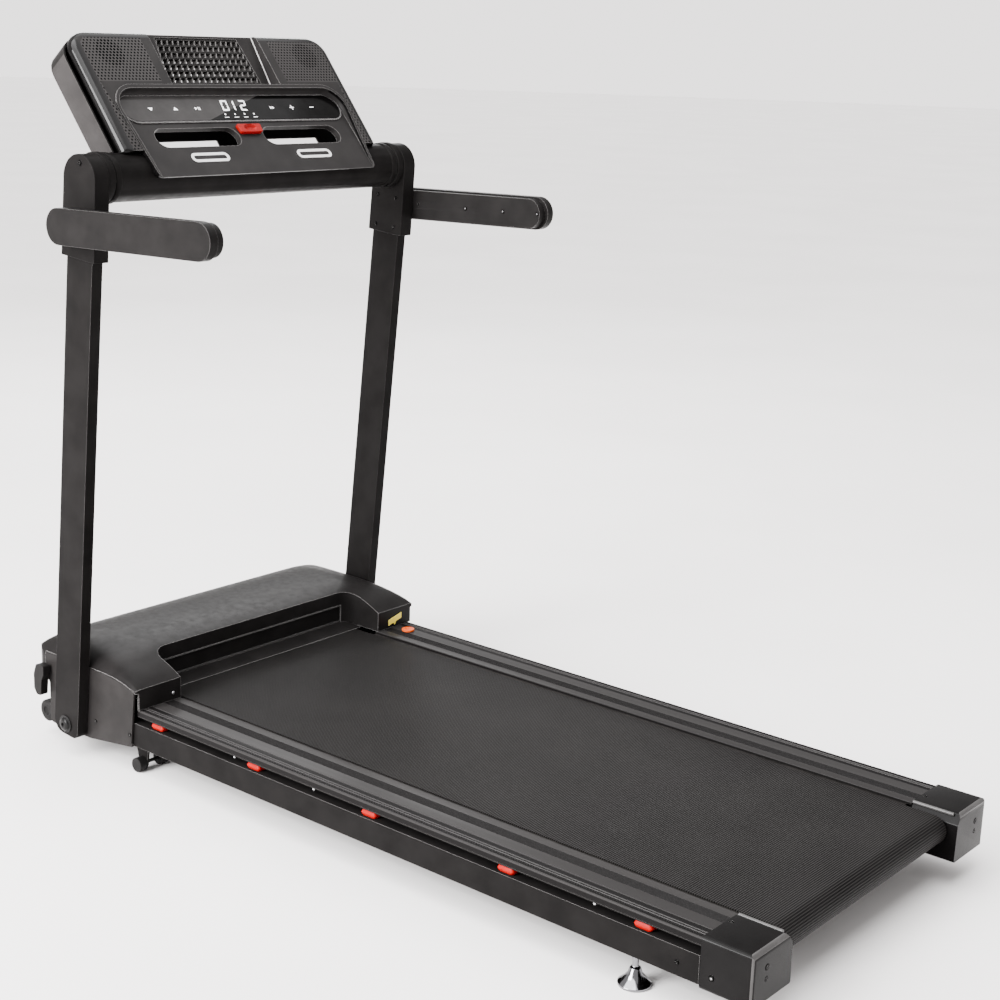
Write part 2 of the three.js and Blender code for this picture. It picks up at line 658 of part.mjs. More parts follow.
function tabletGrille() {
  const plate = prismZ([[-99.5, 149.5], [99.5, 149.5], [83.4, 244.5], [-83.4, 244.5]], 0, 3);
  let grille = plate;
  for (let row = 0; row < 7; row++) {
    const y = 155 + row * 12.6;
    const reach = 94 - row * 2.2;
    for (let i = 0; i < 6; i++) {
      const x = -reach + i * reach / 3;
      grille = grille.subtract(block(x + 2, x + reach / 3 - 2, y, y + 8.5, -1, 5));
    }
  }
  const slope = Math.atan(13 / 115.5) / degrees;
  return grille.translate([0, -144.5, 0]).rotate([slope, 0, 0]).translate([0, 144.5, faceHeight - 25.5]);
}

function safetyKey() {
  const slope = Math.atan(podSlope) / degrees;
  const key = prismZ(rounded([[-24, 48.5], [24, 48.5], [26, 66], [-26, 66]], 2, 2), 0.3, 7);
  return key.rotate([-slope, 0, 0]).translate([0, 0, podFloorHeight]);
}

addPiece('console_back', consoleBack(), greyPlastic, consoleHead);
addPiece('console_face', consoleFace(), blackPlastic, consoleHead);
addPiece('display_panel', displayPanel(), glass, consoleHead);
addPiece('tablet_grille', tabletGrille(), blackPlastic, consoleHead);
addPiece('safety_key', safetyKey(), redElastomer, consoleHead);

export default treadmill;
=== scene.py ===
# %% [markdown]
# # A folding home treadmill
# The machine has a cushioned running deck in a steel frame, a low motor hood, two leaning
# uprights, a round cross tube with a tilting console, and two flat hand grips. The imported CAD
# model gives every place and size. These cells dress it with the shapes and finishes that make
# it look made: pressed and moulded edges, ribs, screws, perforations and a printed display.

# %% Load the frame
import bpy, bmesh, json, math
from mathutils import Matrix, Vector


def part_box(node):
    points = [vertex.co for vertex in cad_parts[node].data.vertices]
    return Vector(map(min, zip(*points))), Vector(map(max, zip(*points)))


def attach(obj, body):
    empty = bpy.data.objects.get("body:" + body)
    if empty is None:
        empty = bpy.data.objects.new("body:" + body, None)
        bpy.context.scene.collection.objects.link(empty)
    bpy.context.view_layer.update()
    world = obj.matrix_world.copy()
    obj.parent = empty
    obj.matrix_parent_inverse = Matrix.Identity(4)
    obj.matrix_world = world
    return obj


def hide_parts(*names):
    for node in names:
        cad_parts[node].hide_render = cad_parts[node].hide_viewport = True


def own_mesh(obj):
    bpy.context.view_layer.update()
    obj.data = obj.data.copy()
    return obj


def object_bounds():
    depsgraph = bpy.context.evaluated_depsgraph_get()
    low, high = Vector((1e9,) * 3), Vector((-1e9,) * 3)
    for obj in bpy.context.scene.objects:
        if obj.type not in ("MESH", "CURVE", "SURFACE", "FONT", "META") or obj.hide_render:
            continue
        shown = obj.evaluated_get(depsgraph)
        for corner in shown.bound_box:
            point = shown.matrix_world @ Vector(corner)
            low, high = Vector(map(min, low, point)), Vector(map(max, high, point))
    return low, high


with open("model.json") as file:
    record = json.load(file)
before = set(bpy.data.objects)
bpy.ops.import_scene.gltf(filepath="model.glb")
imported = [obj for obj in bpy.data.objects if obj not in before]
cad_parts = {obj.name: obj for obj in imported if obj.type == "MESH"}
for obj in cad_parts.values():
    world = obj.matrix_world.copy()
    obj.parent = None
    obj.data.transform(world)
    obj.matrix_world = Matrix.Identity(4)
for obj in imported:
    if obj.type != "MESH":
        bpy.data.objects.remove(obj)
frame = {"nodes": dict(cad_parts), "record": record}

cad_low, cad_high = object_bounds()
half_length = (cad_high.y - cad_low.y) / 2
record = frame["record"]
body_of_node = {n: b for b, ns in record["behaviour"]["bodies"].items() for n in ns}
slot_of_node = {s["node"]: s["material_slot"] for s in record["subparts"]}
SIDES = (("left", -1), ("right", 1))
print("CAD box", [round(v, 3) for v in cad_low], [round(v, 3) for v in cad_high])

# %% [markdown]
# ## Working in millimetres
# A treadmill is drawn from its rear end and from the floor, so the helpers below take
# millimetres with y = 0 at the rear faces of the end caps. The origin of the stored part is in
# the middle of the footprint, so one shift takes a drawing point into the frame.

# %% Points, meshes and edges
def at(x, y, z):
    """A drawing point in millimetres, as a point of the frame in metres."""
    return Vector((x / 1000, y / 1000 - half_length, z / 1000))


def box_of(node):
    """A CAD node's box as drawing millimetres: (x0, x1, y0, y1, z0, z1)."""
    lo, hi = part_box(node)
    return (lo.x * 1000, hi.x * 1000, (lo.y + half_length) * 1000, (hi.y + half_length) * 1000,
            lo.z * 1000, hi.z * 1000)


def clean(mesh, angle=38):
    """Smooth shading with sharp edges wherever two faces meet at more than the angle."""
    mesh.polygons.foreach_set("use_smooth", [True] * len(mesh.polygons))
    mesh.set_sharp_from_angle(angle=math.radians(angle))


def soften(obj, width, segments=2, angle=38):
    """Break the edges of a hard piece, as paint and moulding always do."""
    bevel = obj.modifiers.new("Broken edges", "BEVEL")
    bevel.width = width / 1000
    bevel.segments = segments
    bevel.limit_method = "ANGLE"
    bevel.angle_limit = math.radians(angle)
    bevel.use_clamp_overlap = True
    bevel.harden_normals = True


def new_piece(name, bm, material, body, replaces=(), edge=0.0, angle=38, matrix=None, segments=2):
    """Finish a bmesh as a named piece that rides on a CAD body."""
    bmesh.ops.recalc_face_normals(bm, faces=bm.faces)
    mesh = bpy.data.meshes.new(name)
    bm.to_mesh(mesh)
    bm.free()
    clean(mesh, angle)
    obj = bpy.data.objects.new(name, mesh)
    bpy.context.scene.collection.objects.link(obj)
    if matrix is not None:
        obj.matrix_world = matrix
    mesh.materials.append(material)
    if edge:
        soften(obj, edge, segments, angle)
    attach(obj, body)
    if replaces:
        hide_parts(*replaces)
    return obj


def boolean(bm, tool, operation):
    """Cut, join or intersect two closed bmeshes and return the result as a bmesh."""
    objects = []
    for part in (bm, tool):
        bmesh.ops.recalc_face_normals(part, faces=part.faces)
        mesh = bpy.data.meshes.new("work")
        part.to_mesh(mesh)
        part.free()
        obj = bpy.data.objects.new("work", mesh)
        bpy.context.scene.collection.objects.link(obj)
        objects.append(obj)
    step = objects[0].modifiers.new("step", "BOOLEAN")
    step.operation = operation
    step.solver = "EXACT"
    step.object = objects[1]
    result = bmesh.new()
    result.from_object(objects[0], bpy.context.evaluated_depsgraph_get())
    for obj in objects:
        mesh = obj.data
        bpy.data.objects.remove(obj)
        bpy.data.meshes.remove(mesh)
    bmesh.ops.remove_doubles(result, verts=result.verts, dist=1e-6)
    return result


def cut(bm, tool):
    return boolean(bm, tool, "DIFFERENCE")


def common(bm, tool):
    return boolean(bm, tool, "INTERSECT")


def joined(*parts):
    """Several separate solids in one bmesh."""
    whole = bmesh.new()
    for part in parts:
        mesh = bpy.data.meshes.new("part")
        part.to_mesh(mesh)
        part.free()
        whole.from_mesh(mesh)
        bpy.data.meshes.remove(mesh)
    return whole


# %% [markdown]
# ## Basic shapes
# Sheet metal, extrusions and moulded shells are mostly prisms, and wheels, feet and screws are
# turned. Both are made here from an outline, with the corner radii that the real ones have.

# %% Prisms, turned shapes and round corners
def arc(cx, cy, radius, start, end, steps):
    return [(cx + radius * math.cos(math.radians(start + (end - start) * i / steps)),
             cy + radius * math.sin(math.radians(start + (end - start) * i / steps)))
            for i in range(steps + 1)]


def rounded(points, radii, steps=6):
    """A polygon with round corners: one radius, or one for each corner."""
    result = []
    count = len(points)
    for i, point in enumerate(points):
        radius = radii[i] if isinstance(radii, (list, tuple)) else radii
        corner = Vector(point)
        if radius <= 0:
            result.append(tuple(corner))
            continue
        before = (Vector(points[i - 1]) - corner).normalized()
        after = (Vector(points[(i + 1) % count]) - corner).normalized()
        half = before.angle(after) / 2
        first = corner + before * (radius / math.tan(half))
        last = corner + after * (radius / math.tan(half))
        centre = corner + (before + after).normalized() * (radius / math.sin(half))
        a0 = math.atan2(first.y - centre.y, first.x - centre.x)
        a1 = math.atan2(last.y - centre.y, last.x - centre.x)
        sweep = (a1 - a0 + math.pi) % (2 * math.pi) - math.pi
        for k in range(steps + 1):
            a = a0 + sweep * k / steps
            result.append((centre.x + radius * math.cos(a), centre.y + radius * math.sin(a)))
    return result


def smooth_line(points, per_span=6):
    """A smooth curve through the points, for moulded profiles."""
    result = []
    for i in range(len(points) - 1):
        p0 = Vector(points[max(i - 1, 0)])
        p1, p2 = Vector(points[i]), Vector(points[i + 1])
        p3 = Vector(points[min(i + 2, len(points) - 1)])
        for k in range(per_span):
            t = k / per_span
            result.append(tuple(0.5 * ((2 * p1) + (p2 - p0) * t + (2 * p0 - 5 * p1 + 4 * p2 - p3) * t * t
                                       + (3 * p1 - p0 - 3 * p2 + p3) * t ** 3)))
    result.append(tuple(points[-1]))
    return result


AXIS = {"x": lambda a, b, t: (t, a, b), "y": lambda a, b, t: (a, t, b), "z": lambda a, b, t: (a, b, t)}


def prism(outline, axis, start, end, local=False):
    """A closed prism: the outline's two coordinates are the other two axes, in order."""
    bm = bmesh.new()
    place = AXIS[axis]
    move = (lambda p: Vector(p) / 1000) if local else (lambda p: at(*p))
    rings = [[bm.verts.new(move(place(a, b, t))) for a, b in outline] for t in (start, end)]
    count = len(outline)
    for i in range(count):
        j = (i + 1) % count
        bm.faces.new((rings[0][i], rings[0][j], rings[1][j], rings[1][i]))
    bm.faces.new(rings[0])
    bm.faces.new(rings[1])
    return bm


def block(x0, x1, y0, y1, z0, z1, local=False):
    return prism([(x0, y0), (x1, y0), (x1, y1), (x0, y1)], "z", z0, z1, local)


def turned(profile, axis, centre, steps=40, local=False):
    """A turned solid: profile holds (place along the axis, radius) and starts and ends on it."""
    bm = bmesh.new()
    place = AXIS[axis]
    move = (lambda p: Vector(p) / 1000) if local else (lambda p: at(*p))
    ca, cb = centre
    rings = []
    for t, radius in profile:
        if radius < 1e-6:
            rings.append([bm.verts.new(move(place(ca, cb, t)))])
            continue
        rings.append([bm.verts.new(move(place(ca + radius * math.cos(2 * math.pi * i / steps),
                                              cb + radius * math.sin(2 * math.pi * i / steps), t)))
                      for i in range(steps)])
    for one, two in zip(rings, rings[1:]):
        for i in range(steps):
            j = (i + 1) % steps
            if len(one) == 1 and len(two) > 1:
                bm.faces.new((one[0], two[j], two[i]))
            elif len(two) == 1 and len(one) > 1:
                bm.faces.new((one[i], one[j], two[0]))
            elif len(one) > 1:
                bm.faces.new((one[i], one[j], two[j], two[i]))
    return bm


def rod(axis, centre, radius, start, end, steps=28, local=False):
    return turned([(start, 0), (start, radius), (end, radius), (end, 0)], axis, centre, steps, local)


def mirrored(bm, side):
    """The same shape on the other side of the machine."""
    if side < 0:
        bmesh.ops.scale(bm, vec=(-1, 1, 1), verts=bm.verts)
        bmesh.ops.reverse_faces(bm, faces=bm.faces)
    return bm


# %% [markdown]
# ## Finishes
# Almost everything is black, so the finishes have to differ in the way light runs over them.
# Powder coat has a faint orange peel, moulded plastic a fine spark-eroded grain, anodised
# aluminium long extrusion lines and rubber a dull bloom. Each finish mixes a slow colour change
# and a fine bump. Where an edge colour is given, a paler rim runs along the edges: a painted
# highlight, standing in for the light that the edges catch.

# %% Material builders
def nodes_of(name):
    material = bpy.data.materials.new(name)
    material.use_nodes = True
    tree = material.node_tree
    shader = tree.nodes["Principled BSDF"]
    return material, tree, shader


def add(tree, kind, **values):
    node = tree.nodes.new(kind)
    for key, value in values.items():
        if key in node.inputs:
            node.inputs[key].default_value = value
        else:
            setattr(node, key, value)
    return node


def noise(tree, scale, detail=3.0, stretch=(1, 1, 1)):
    """Noise in real sizes: scale is the size of its grains in millimetres."""
    coords = add(tree, "ShaderNodeTexCoord")
    mapping = add(tree, "ShaderNodeMapping")
    mapping.inputs["Scale"].default_value = Vector(stretch) * (1000 / scale)
    grain = add(tree, "ShaderNodeTexNoise", Scale=1.0, Detail=detail, Roughness=0.55)
    tree.links.new(coords.outputs["Object"], mapping.inputs["Vector"])
    tree.links.new(mapping.outputs["Vector"], grain.inputs["Vector"])
    return grain.outputs["Fac"]


def ramp(tree, source, low, high, stops=(0.35, 0.65)):
    """Turns a grey value into a mix between two colours or two numbers."""
    node = add(tree, "ShaderNodeValToRGB")
    for element, place, value in zip(node.color_ramp.elements, stops, (low, high)):
        element.position = place
        element.color = (*value, 1) if isinstance(value, (tuple, list)) else (value, value, value, 1)
    tree.links.new(source, node.inputs["Fac"])
    return node.outputs["Color"]


def painted_edge_highlight(tree, width):
    """1 along the outer edges of a piece, 0 on its faces: the mask of the painted edge highlight."""
    bevel = add(tree, "ShaderNodeBevel", samples=4, Radius=width / 1000)
    here = add(tree, "ShaderNodeNewGeometry")
    dot = add(tree, "ShaderNodeVectorMath", operation="DOT_PRODUCT")
    tree.links.new(bevel.outputs["Normal"], dot.inputs[0])
    tree.links.new(here.outputs["Normal"], dot.inputs[1])
    return ramp(tree, dot.outputs["Value"], 1.0, 0.0, (0.80, 0.98))


def mixed(tree, factor, low, high):
    mix = add(tree, "ShaderNodeMix", data_type="RGBA")
    tree.links.new(factor, mix.inputs["Factor"])
    for socket, value in ((mix.inputs["A"], low), (mix.inputs["B"], high)):
        if hasattr(value, "is_linked"):
            tree.links.new(value, socket)
        else:
            socket.default_value = (*value, 1)
    return mix.outputs["Result"]


def bumped(tree, shader, height, strength, distance):
    bump = add(tree, "ShaderNodeBump", Strength=strength, Distance=distance / 1000)
    tree.links.new(height, bump.inputs["Height"])
    tree.links.new(bump.outputs["Normal"], shader.inputs["Normal"])
    return bump


def finish(name, colour, rough=0.45, metal=0.0, grain=0.6, depth=0.05, strength=0.25, edge=None,
           edge_width=1.2, spread=0.18, coat=0.0, specular=0.5, stretch=(1, 1, 1)):
    """A painted, moulded or bare surface with grain, slow colour change and a painted highlight along its
    edges.
    """
    material, tree, shader = nodes_of(name)
    dark = tuple(c * (1 - spread) for c in colour)
    light = tuple(c * (1 + spread) for c in colour)
    base = ramp(tree, noise(tree, 45, 4.0, stretch), dark, light)
    # The edge colour is a painted highlight, lighter along the edges from every side.
    if edge:
        base = mixed(tree, painted_edge_highlight(tree, edge_width), base, edge)
    tree.links.new(base, shader.inputs["Base Color"])
    tree.links.new(ramp(tree, noise(tree, 12, 5.0, stretch), rough * 0.86, min(1.0, rough * 1.14)),
                   shader.inputs["Roughness"])
    shader.inputs["Metallic"].default_value = metal
    shader.inputs["Specular IOR Level"].default_value = specular
    shader.inputs["Coat Weight"].default_value = coat
    shader.inputs["Coat Roughness"].default_value = 0.12
    bumped(tree, shader, noise(tree, grain, 2.0, stretch), strength, depth)
    return material


# %% [markdown]
# ## The palette
# The steel is black powder coat, satin and slightly lumpy. The hood, caps and console are moulded
# in black with a fine grain, and the flat side covers and the console's back in a greyer mix.
# The only colours are the red deck cushions and safety key, the orange oil port and a yellow tab.

# %% Make the finishes
# The pale edge colours in this palette are painted highlights along the pieces' edges.
EDGE_HIGHLIGHT = (0.13, 0.125, 0.123)
look = {
    "black_paint": finish("Black powder coat", (0.0062, 0.0057, 0.0056), 0.38, 0.0, 1.3, 0.05, 0.22,
                          edge=EDGE_HIGHLIGHT,
                          edge_width=0.9, specular=0.015),
    "black_plastic": finish("Black moulded plastic", (0.0075, 0.0069, 0.0068), 0.36, 0.0, 0.55, 0.035, 0.3,
                            edge=EDGE_HIGHLIGHT, edge_width=0.9, specular=0.04),
    "grey_plastic": finish("Dark grey moulded plastic", (0.023, 0.0212, 0.0209), 0.42, 0.0, 0.55, 0.04, 0.3,
                           edge=EDGE_HIGHLIGHT, edge_width=0.9, specular=0.05),
    "rubber": finish("Black rubber", (0.005, 0.0046, 0.0046), 0.6, 0.0, 0.9, 0.06, 0.35, spread=0.3,
                     specular=0.1),
    "red_elastomer": finish("Red elastomer", (0.24, 0.0012, 0.0012), 0.4, 0.0, 1.0, 0.05, 0.25,
                            edge=(0.36, 0.004, 0.003), spread=0.1, specular=0.08),
    "red_plastic": finish("Red gloss plastic", (0.2, 0.001, 0.001), 0.26, 0.0, 0.8, 0.02, 0.12,
                          edge=(0.45, 0.02, 0.015), spread=0.08, specular=0.1),
    "orange_plastic": finish("Orange gloss plastic", (0.5, 0.06, 0.003), 0.3, 0.0, 0.8, 0.02, 0.15,
                             edge=(0.85, 0.2, 0.05), spread=0.1, specular=0.15),
    "steel": finish("Zinc plated steel", (0.42, 0.42, 0.43), 0.28, 1.0, 0.8, 0.02, 0.2, spread=0.12),
    "chrome": finish("Chromed steel", (0.2, 0.2, 0.21), 0.12, 1.0, 2.0, 0.01, 0.08, spread=0.06),
    "dark_steel": finish("Blackened steel", (0.004, 0.0038, 0.0038), 0.3, 0.0, 1.0, 0.03, 0.25,
                         edge=(0.2, 0.193, 0.19), edge_width=0.35, specular=0.1),
    "board": finish("Black faced deck board", (0.010, 0.009, 0.0085), 0.5, 0.0, 1.5, 0.06, 0.35, spread=0.3,
                    specular=0.1),
    "display_glass": finish("Black display lens", (0.006, 0.006, 0.0065), 0.07, 0.0, 3.0, 0.004, 0.05,
                            specular=0.2),
}
# The gloss plastic's pale edge colour is a painted highlight along its edges.
gloss_plastic = finish("Black gloss plastic", (0.0034, 0.0031, 0.0031), 0.2, 0.0, 0.7, 0.02, 0.15,
                       edge=(0.3, 0.29, 0.287), edge_width=2.6, specular=0.05)
rim_plastic = finish("Polished black rim", (0.0022, 0.002, 0.002), 0.16, 0.0, 0.7, 0.02, 0.1, specular=0.16)
print(len(look) + 2, "finishes")

# %% [markdown]
# ## The walking belt
# A treadmill belt is woven polyester with a PVC face embossed in fine crosswise ribs, so that
# shoes grip it. The ribs follow the belt around the rollers. That needs a coordinate that runs
# along the loop, so the belt is rebuilt here with its own length measured into a UV map.

# %% Walking belt
def belt_material():
    material, tree, shader = nodes_of("Ribbed belt face")
    uv = add(tree, "ShaderNodeUVMap", uv_map="run")
    split = add(tree, "ShaderNodeSeparateXYZ")
    tree.links.new(uv.outputs["UV"], split.inputs["Vector"])

    def wave(output, pitch):
        scale = add(tree, "ShaderNodeMath", operation="MULTIPLY")
        scale.inputs[1].default_value = 2 * math.pi * 1000 / pitch
        sine = add(tree, "ShaderNodeMath", operation="SINE")
        tree.links.new(output, scale.inputs[0])
        tree.links.new(scale.outputs[0], sine.inputs[0])
        return sine.outputs[0]

    ribs = wave(split.outputs["Y"], 3.6)
    weave = wave(split.outputs["X"], 3.1)
    soften_weave = add(tree, "ShaderNodeMath", operation="MULTIPLY_ADD")
    soften_weave.inputs[1].default_value = 0.35
    tree.links.new(weave, soften_weave.inputs[0])
    tree.links.new(ribs, soften_weave.inputs[2])
    height = soften_weave.outputs[0]
    # The rib troughs are painted darker and the crests paler: painted shade and highlight on the embossing.
    shade = ramp(tree, height, (0.0018, 0.0017, 0.0017), (0.019, 0.0175, 0.017), (0.0, 1.0))
    dusty = mixed(tree, ramp(tree, noise(tree, 120, 4.0), 0.0, 0.2), shade, (0.015, 0.0138, 0.0135))
    tree.links.new(dusty, shader.inputs["Base Color"])
    shader.inputs["Roughness"].default_value = 0.42
    shader.inputs["Specular IOR Level"].default_value = 0.03
    bumped(tree, shader, height, 0.6, 0.35)
    return material


def belt_loop(name, y0, r0, y1, r1, z0, z1, thickness, half_width, steps=28):
    """A closed band around two rollers, with its length along the loop in a UV map."""
    bm = bmesh.new()
    layer = bm.loops.layers.uv.new("run")

    def path(extra):
        points = []
        for i in range(steps + 1):
            a = math.radians(-90 + 180 * i / steps)
            points.append((y1 + (r1 + extra) * math.cos(a), z1 + (r1 + extra) * math.sin(a)))
        for i in range(steps + 1):
            a = math.radians(90 + 180 * i / steps)
            points.append((y0 + (r0 + extra) * math.cos(a), z0 + (r0 + extra) * math.sin(a)))
        return points

    outer, inner = path(thickness), path(0)
    lengths = [0.0]
    for p, q in zip(outer, outer[1:] + outer[:1]):
        lengths.append(lengths[-1] + math.dist(p, q) / 1000)
    rings = [[bm.verts.new(at(x, *p)) for p in line]
             for line, x in ((outer, -half_width), (outer, half_width), (inner, half_width),
                             (inner, -half_width))]
    count = len(outer)
    for i in range(count):
        j = (i + 1) % count
        for a in range(4):
            b = (a + 1) % 4
            face = bm.faces.new((rings[a][i], rings[b][i], rings[b][j], rings[a][j]))
            for loop, along in zip(face.loops, (lengths[i], lengths[i], lengths[i + 1], lengths[i + 1])):
                loop[layer].uv = (loop.vert.co.x, along)
    return bm


roller_z = (box_of("rear_axle")[4] + box_of("rear_axle")[5]) / 2
rear_y = (box_of("rear_axle")[2] + box_of("rear_axle")[3]) / 2
front_y = (box_of("front_axle")[2] + box_of("front_axle")[3]) / 2
belt_top = box_of("walking_belt")[5]
outer_radius = belt_top - roller_z
new_piece("walking_belt_ribbed",
                 belt_loop("belt", rear_y, outer_radius - 1.6, front_y, outer_radius - 1.6, roller_z,
                           roller_z,
                           1.6, 225), belt_material(), "frame", ["walking_belt"])
print("belt top at", round(belt_top, 1), "mm, rollers", round(rear_y), "and", round(front_y))

# %% [markdown]
# ## Foot rails
# Each foot rail is one aluminium extrusion, anodised black. Its top steps through smooth and
# ribbed bands, so that shoes find a grip and the long part stays stiff. The profile is drawn once
# and extruded, and the finish carries the long fine lines that the die leaves.

# %% Foot rails
def rail_profile(inner, outer, low, under, top):
    """Cross section of the right rail: (x, z), from the inner edge outwards along the top."""
    points = [(inner, under + 0.3), (inner, top - 1.2)]
    points += arc(inner + 1.2, top - 1.2, 1.2, 180, 90, 4)[1:]
    # smooth inner band, ribbed band, raised smooth band, flat outer band and a drip groove
    points += [(inner + 16, top), (inner + 16.6, top - 0.9)]
    x = inner + 17
    while x < inner + 33.5:
        points += [(x, top - 0.9), (x + 0.55, top - 0.25), (x + 1.05, top - 0.25), (x + 1.6, top - 0.9)]
        x += 2.1
    points += [(inner + 34.6, top - 0.9), (inner + 35.2, top)]
    points += [(inner + 58, top), (inner + 58.8, top - 0.8), (outer - 17, top - 0.8), (outer - 16.6, top),
               (outer - 15.4, top), (outer - 15, top - 0.8), (outer - 12, top - 0.8), (outer - 11.6, top),
               (outer - 10.4, top), (outer - 10, top - 0.8), (outer - 7, top - 0.8),
               (outer - 6.6, top - 2.2),
               (outer - 5.0, top - 2.2), (outer - 4.6, top - 0.6)]
    points += arc(outer - 3.0, top - 3.2, 2.8, 80, 0, 5)
    points += [(outer, low + 3.4), (outer - 0.8, low + 3.0), (outer - 0.8, low + 2.2), (outer, low + 1.8)]
    points += arc(outer - 1.2, low + 1.2, 1.2, 0, -90, 3)
    points += [(292.4, low), (292.4, under + 0.3)]
    return points


# Two copies of one anodised finish: the lighter one for lit faces, the darker one for shaded faces. Their
# pale edge colours are painted highlights.
rail_look = finish("Black anodised extrusion", (0.0165, 0.0154, 0.0152), 0.34, 0.0, 0.7, 0.03, 0.3,
                   edge=(0.09, 0.085, 0.085), edge_width=0.4, stretch=(1, 0.02, 1), specular=0.04)
rail_shaded = finish("Shaded copy of the anodised extrusion", (0.0045, 0.0041, 0.0041), 0.45, 0.0, 0.7, 0.03, 0.3,
                   edge=(0.03, 0.028, 0.028), edge_width=0.3, stretch=(1, 0.02, 1), specular=0.03)
look["rail_black"] = rail_look
for name, side in SIDES:
    x0, x1, y0, y1, z0, z1 = box_of("foot_rail_right")
    bm = prism(rail_profile(x0, x1, z0, 108.4, z1), "y", y0, y1)
    if side > 0:
        cap = box_of("oil_cap")
        bm = cut(bm, rod("z", ((cap[0] + cap[1]) / 2, (cap[2] + cap[3]) / 2), 9.6, 90, 125))
    bm = mirrored(bm, side)
    rail = new_piece(f"foot_rail_{name}_extrusion", bm, rail_look, "deck",
                     [f"foot_rail_{name}"], angle=25)
    rail.data.materials.append(rail_shaded)
    # The ribbed band, the outer band between its raised fine lines and every face that does not face up take
    # the darker copy: painted shade. The smooth raised bands, the fine lines and the rounded outer edge keep
    # the lighter copy.
    for face in rail.data.polygons:
        x = abs(face.center.x) * 1000
        fine_line = abs(x - x1 + 16) < 1 or abs(x - x1 + 11) < 1 or x > x1 - 3
        if x0 + 16.2 < x < x0 + 35 or (x > x1 - 22 and not fine_line) or face.normal.z < 0.1:
            face.material_index = 1
print("foot rails", round(y1 - y0), "mm long")

# %% [markdown]
# ## Deck cushions
# Ten elastomer blocks carry the deck on the steel frame and take the shock of each step. They are
# injection moulded with a barrel side and a parting line, and they bulge a little under load.
# On the real machine they flatten with the deck's short travel.

# %% Deck cushions
def cushion_shape(x0, x1, y0, y1, z0, z1):
    bm = bmesh.new()
    cx, cy = (x0 + x1) / 2, (y0 + y1) / 2
    levels = 9
    rings = []
    for i in range(levels):
        t = i / (levels - 1)
        bulge = 0.86 + 0.14 * math.sin(math.pi * t)
        if i == levels // 2:
            bulge += 0.02
        hx, hy = (x1 - x0) / 2 * bulge, (y1 - y0) / 2 * bulge
        outline = rounded([(cx - hx, cy - hy), (cx + hx, cy - hy), (cx + hx, cy + hy), (cx - hx, cy + hy)],
                          4, 5)
        z = z0 + (z1 - z0) * t
        rings.append([bm.verts.new(at(a, b, z)) for a, b in outline])
    for one, two in zip(rings, rings[1:]):
        for i in range(len(one)):
            j = (i + 1) % len(one)
            bm.faces.new((one[i], one[j], two[j], two[i]))
    bm.faces.new(rings[0])
    bm.faces.new(rings[-1])
    return bm


for name, side in SIDES:
    for i in range(1, 6):
        node = f"cushion_{name}_{i}"
        b = box_of(node)
        b = (b[0] - 0.5 * (side < 0), b[1] + 0.5 * (side > 0), b[2] - 2, b[3] + 2, b[4], b[5])
        obj = new_piece(node + "_moulded", cushion_shape(*b), look["red_elastomer"], "frame",
                        [node], edge=0.6)
        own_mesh(obj)
print("10 cushions")

# %% [markdown]
# ## Motor hood
# The hood is one large moulding. It rises from the two arms that reach back over the rails, runs
# level over the motor, and rolls down at the front and at both shoulders. It is made here the way
# its form was drawn: a side profile and a front section, each swept straight, and what they have
# in common, then the bay where the belt comes out.

# %% Motor hood
hood_box = box_of("hood")
hood_rear, hood_front = hood_box[2], hood_box[3]
hood_half = hood_box[1]
bay_half = 235
bay_front = 1239


def softly_least(a, b, width=16.0):
    """The smaller of two heights, with the crease between them rounded off."""
    h = max(0.0, min(1.0, 0.5 + 0.5 * (b - a) / width))
    return b + (a - b) * h - width * h * (1 - h)


def height_on(line, place):
    for (a, za), (b, zb) in zip(line, line[1:]):
        if a <= place <= b:
            return za + (zb - za) * (place - a) / (b - a)
    return line[0][1] if place < line[0][0] else line[-1][1]


hood_side = smooth_line([(hood_rear, 149), (1183, 159), (1210, 169), (1245, 179.5), (1300, 190.5),
                         (1350, 195),
                         (1391, 189), (1417, 175), (1432, 154), (1436, 132)], 8)
hood_section = smooth_line([(0, 196), (218, 195.5), (268, 189), (304, 177), (322, 163), (328, 151)], 8)


def hood_form(inset):
    """The hood's solid without its bay: a smooth top over the rounded plan."""
    across = [hood_half * math.sin(math.pi / 2 * i / 34) for i in range(-34, 35)]
    along = [hood_rear + (hood_front - hood_rear) * i / 64 for i in range(65)]
    bm = bmesh.new()
    top = [[bm.verts.new(at(x, y, softly_least(height_on(hood_side, y),
                                               height_on(hood_section, abs(x))) - inset))
            for y in along] for x in across]
    low = [[bm.verts.new(at(x, y, 15)) for y in along] for x in across]
    columns, rows = len(across), len(along)
    for i in range(columns - 1):
        for j in range(rows - 1):
            bm.faces.new((top[i][j], top[i + 1][j], top[i + 1][j + 1], top[i][j + 1]))
    bm.faces.new([low[i][0] for i in range(columns)] + [low[-1][j] for j in range(1, rows)]
                 + [low[i][-1] for i in range(columns - 2, -1, -1)] + [low[0][j] for j in range(rows - 2, 0,
                                                                                                -1)])
    for i in range(columns - 1):
        for j in (0, rows - 1):
            bm.faces.new((top[i][j], top[i + 1][j], low[i + 1][j], low[i][j]))
    for j in range(rows - 1):
        for i in (0, columns - 1):
            bm.faces.new((top[i][j], top[i][j + 1], low[i][j + 1], low[i][j]))
    loose = [v for v in bm.verts if not v.link_faces]
    bmesh.ops.delete(bm, geom=loose, context="VERTS")
    w, r, f = hood_half - inset, hood_rear + inset, hood_front - inset
    plan = rounded([(-w, r), (w, r), (w, f), (-w, f)], [4, 4, 36 - inset, 36 - inset], 8)
    return common(bm, prism(plan, "z", 10, 230))


def hood_bay(inset):
    half = bay_half + inset
    return prism(rounded([(-half, hood_rear - 30), (half, hood_rear - 30), (half, bay_front + inset),
                          (-half, bay_front + inset)], [0, 0, 30, 30], 10), "z", 0, 260)


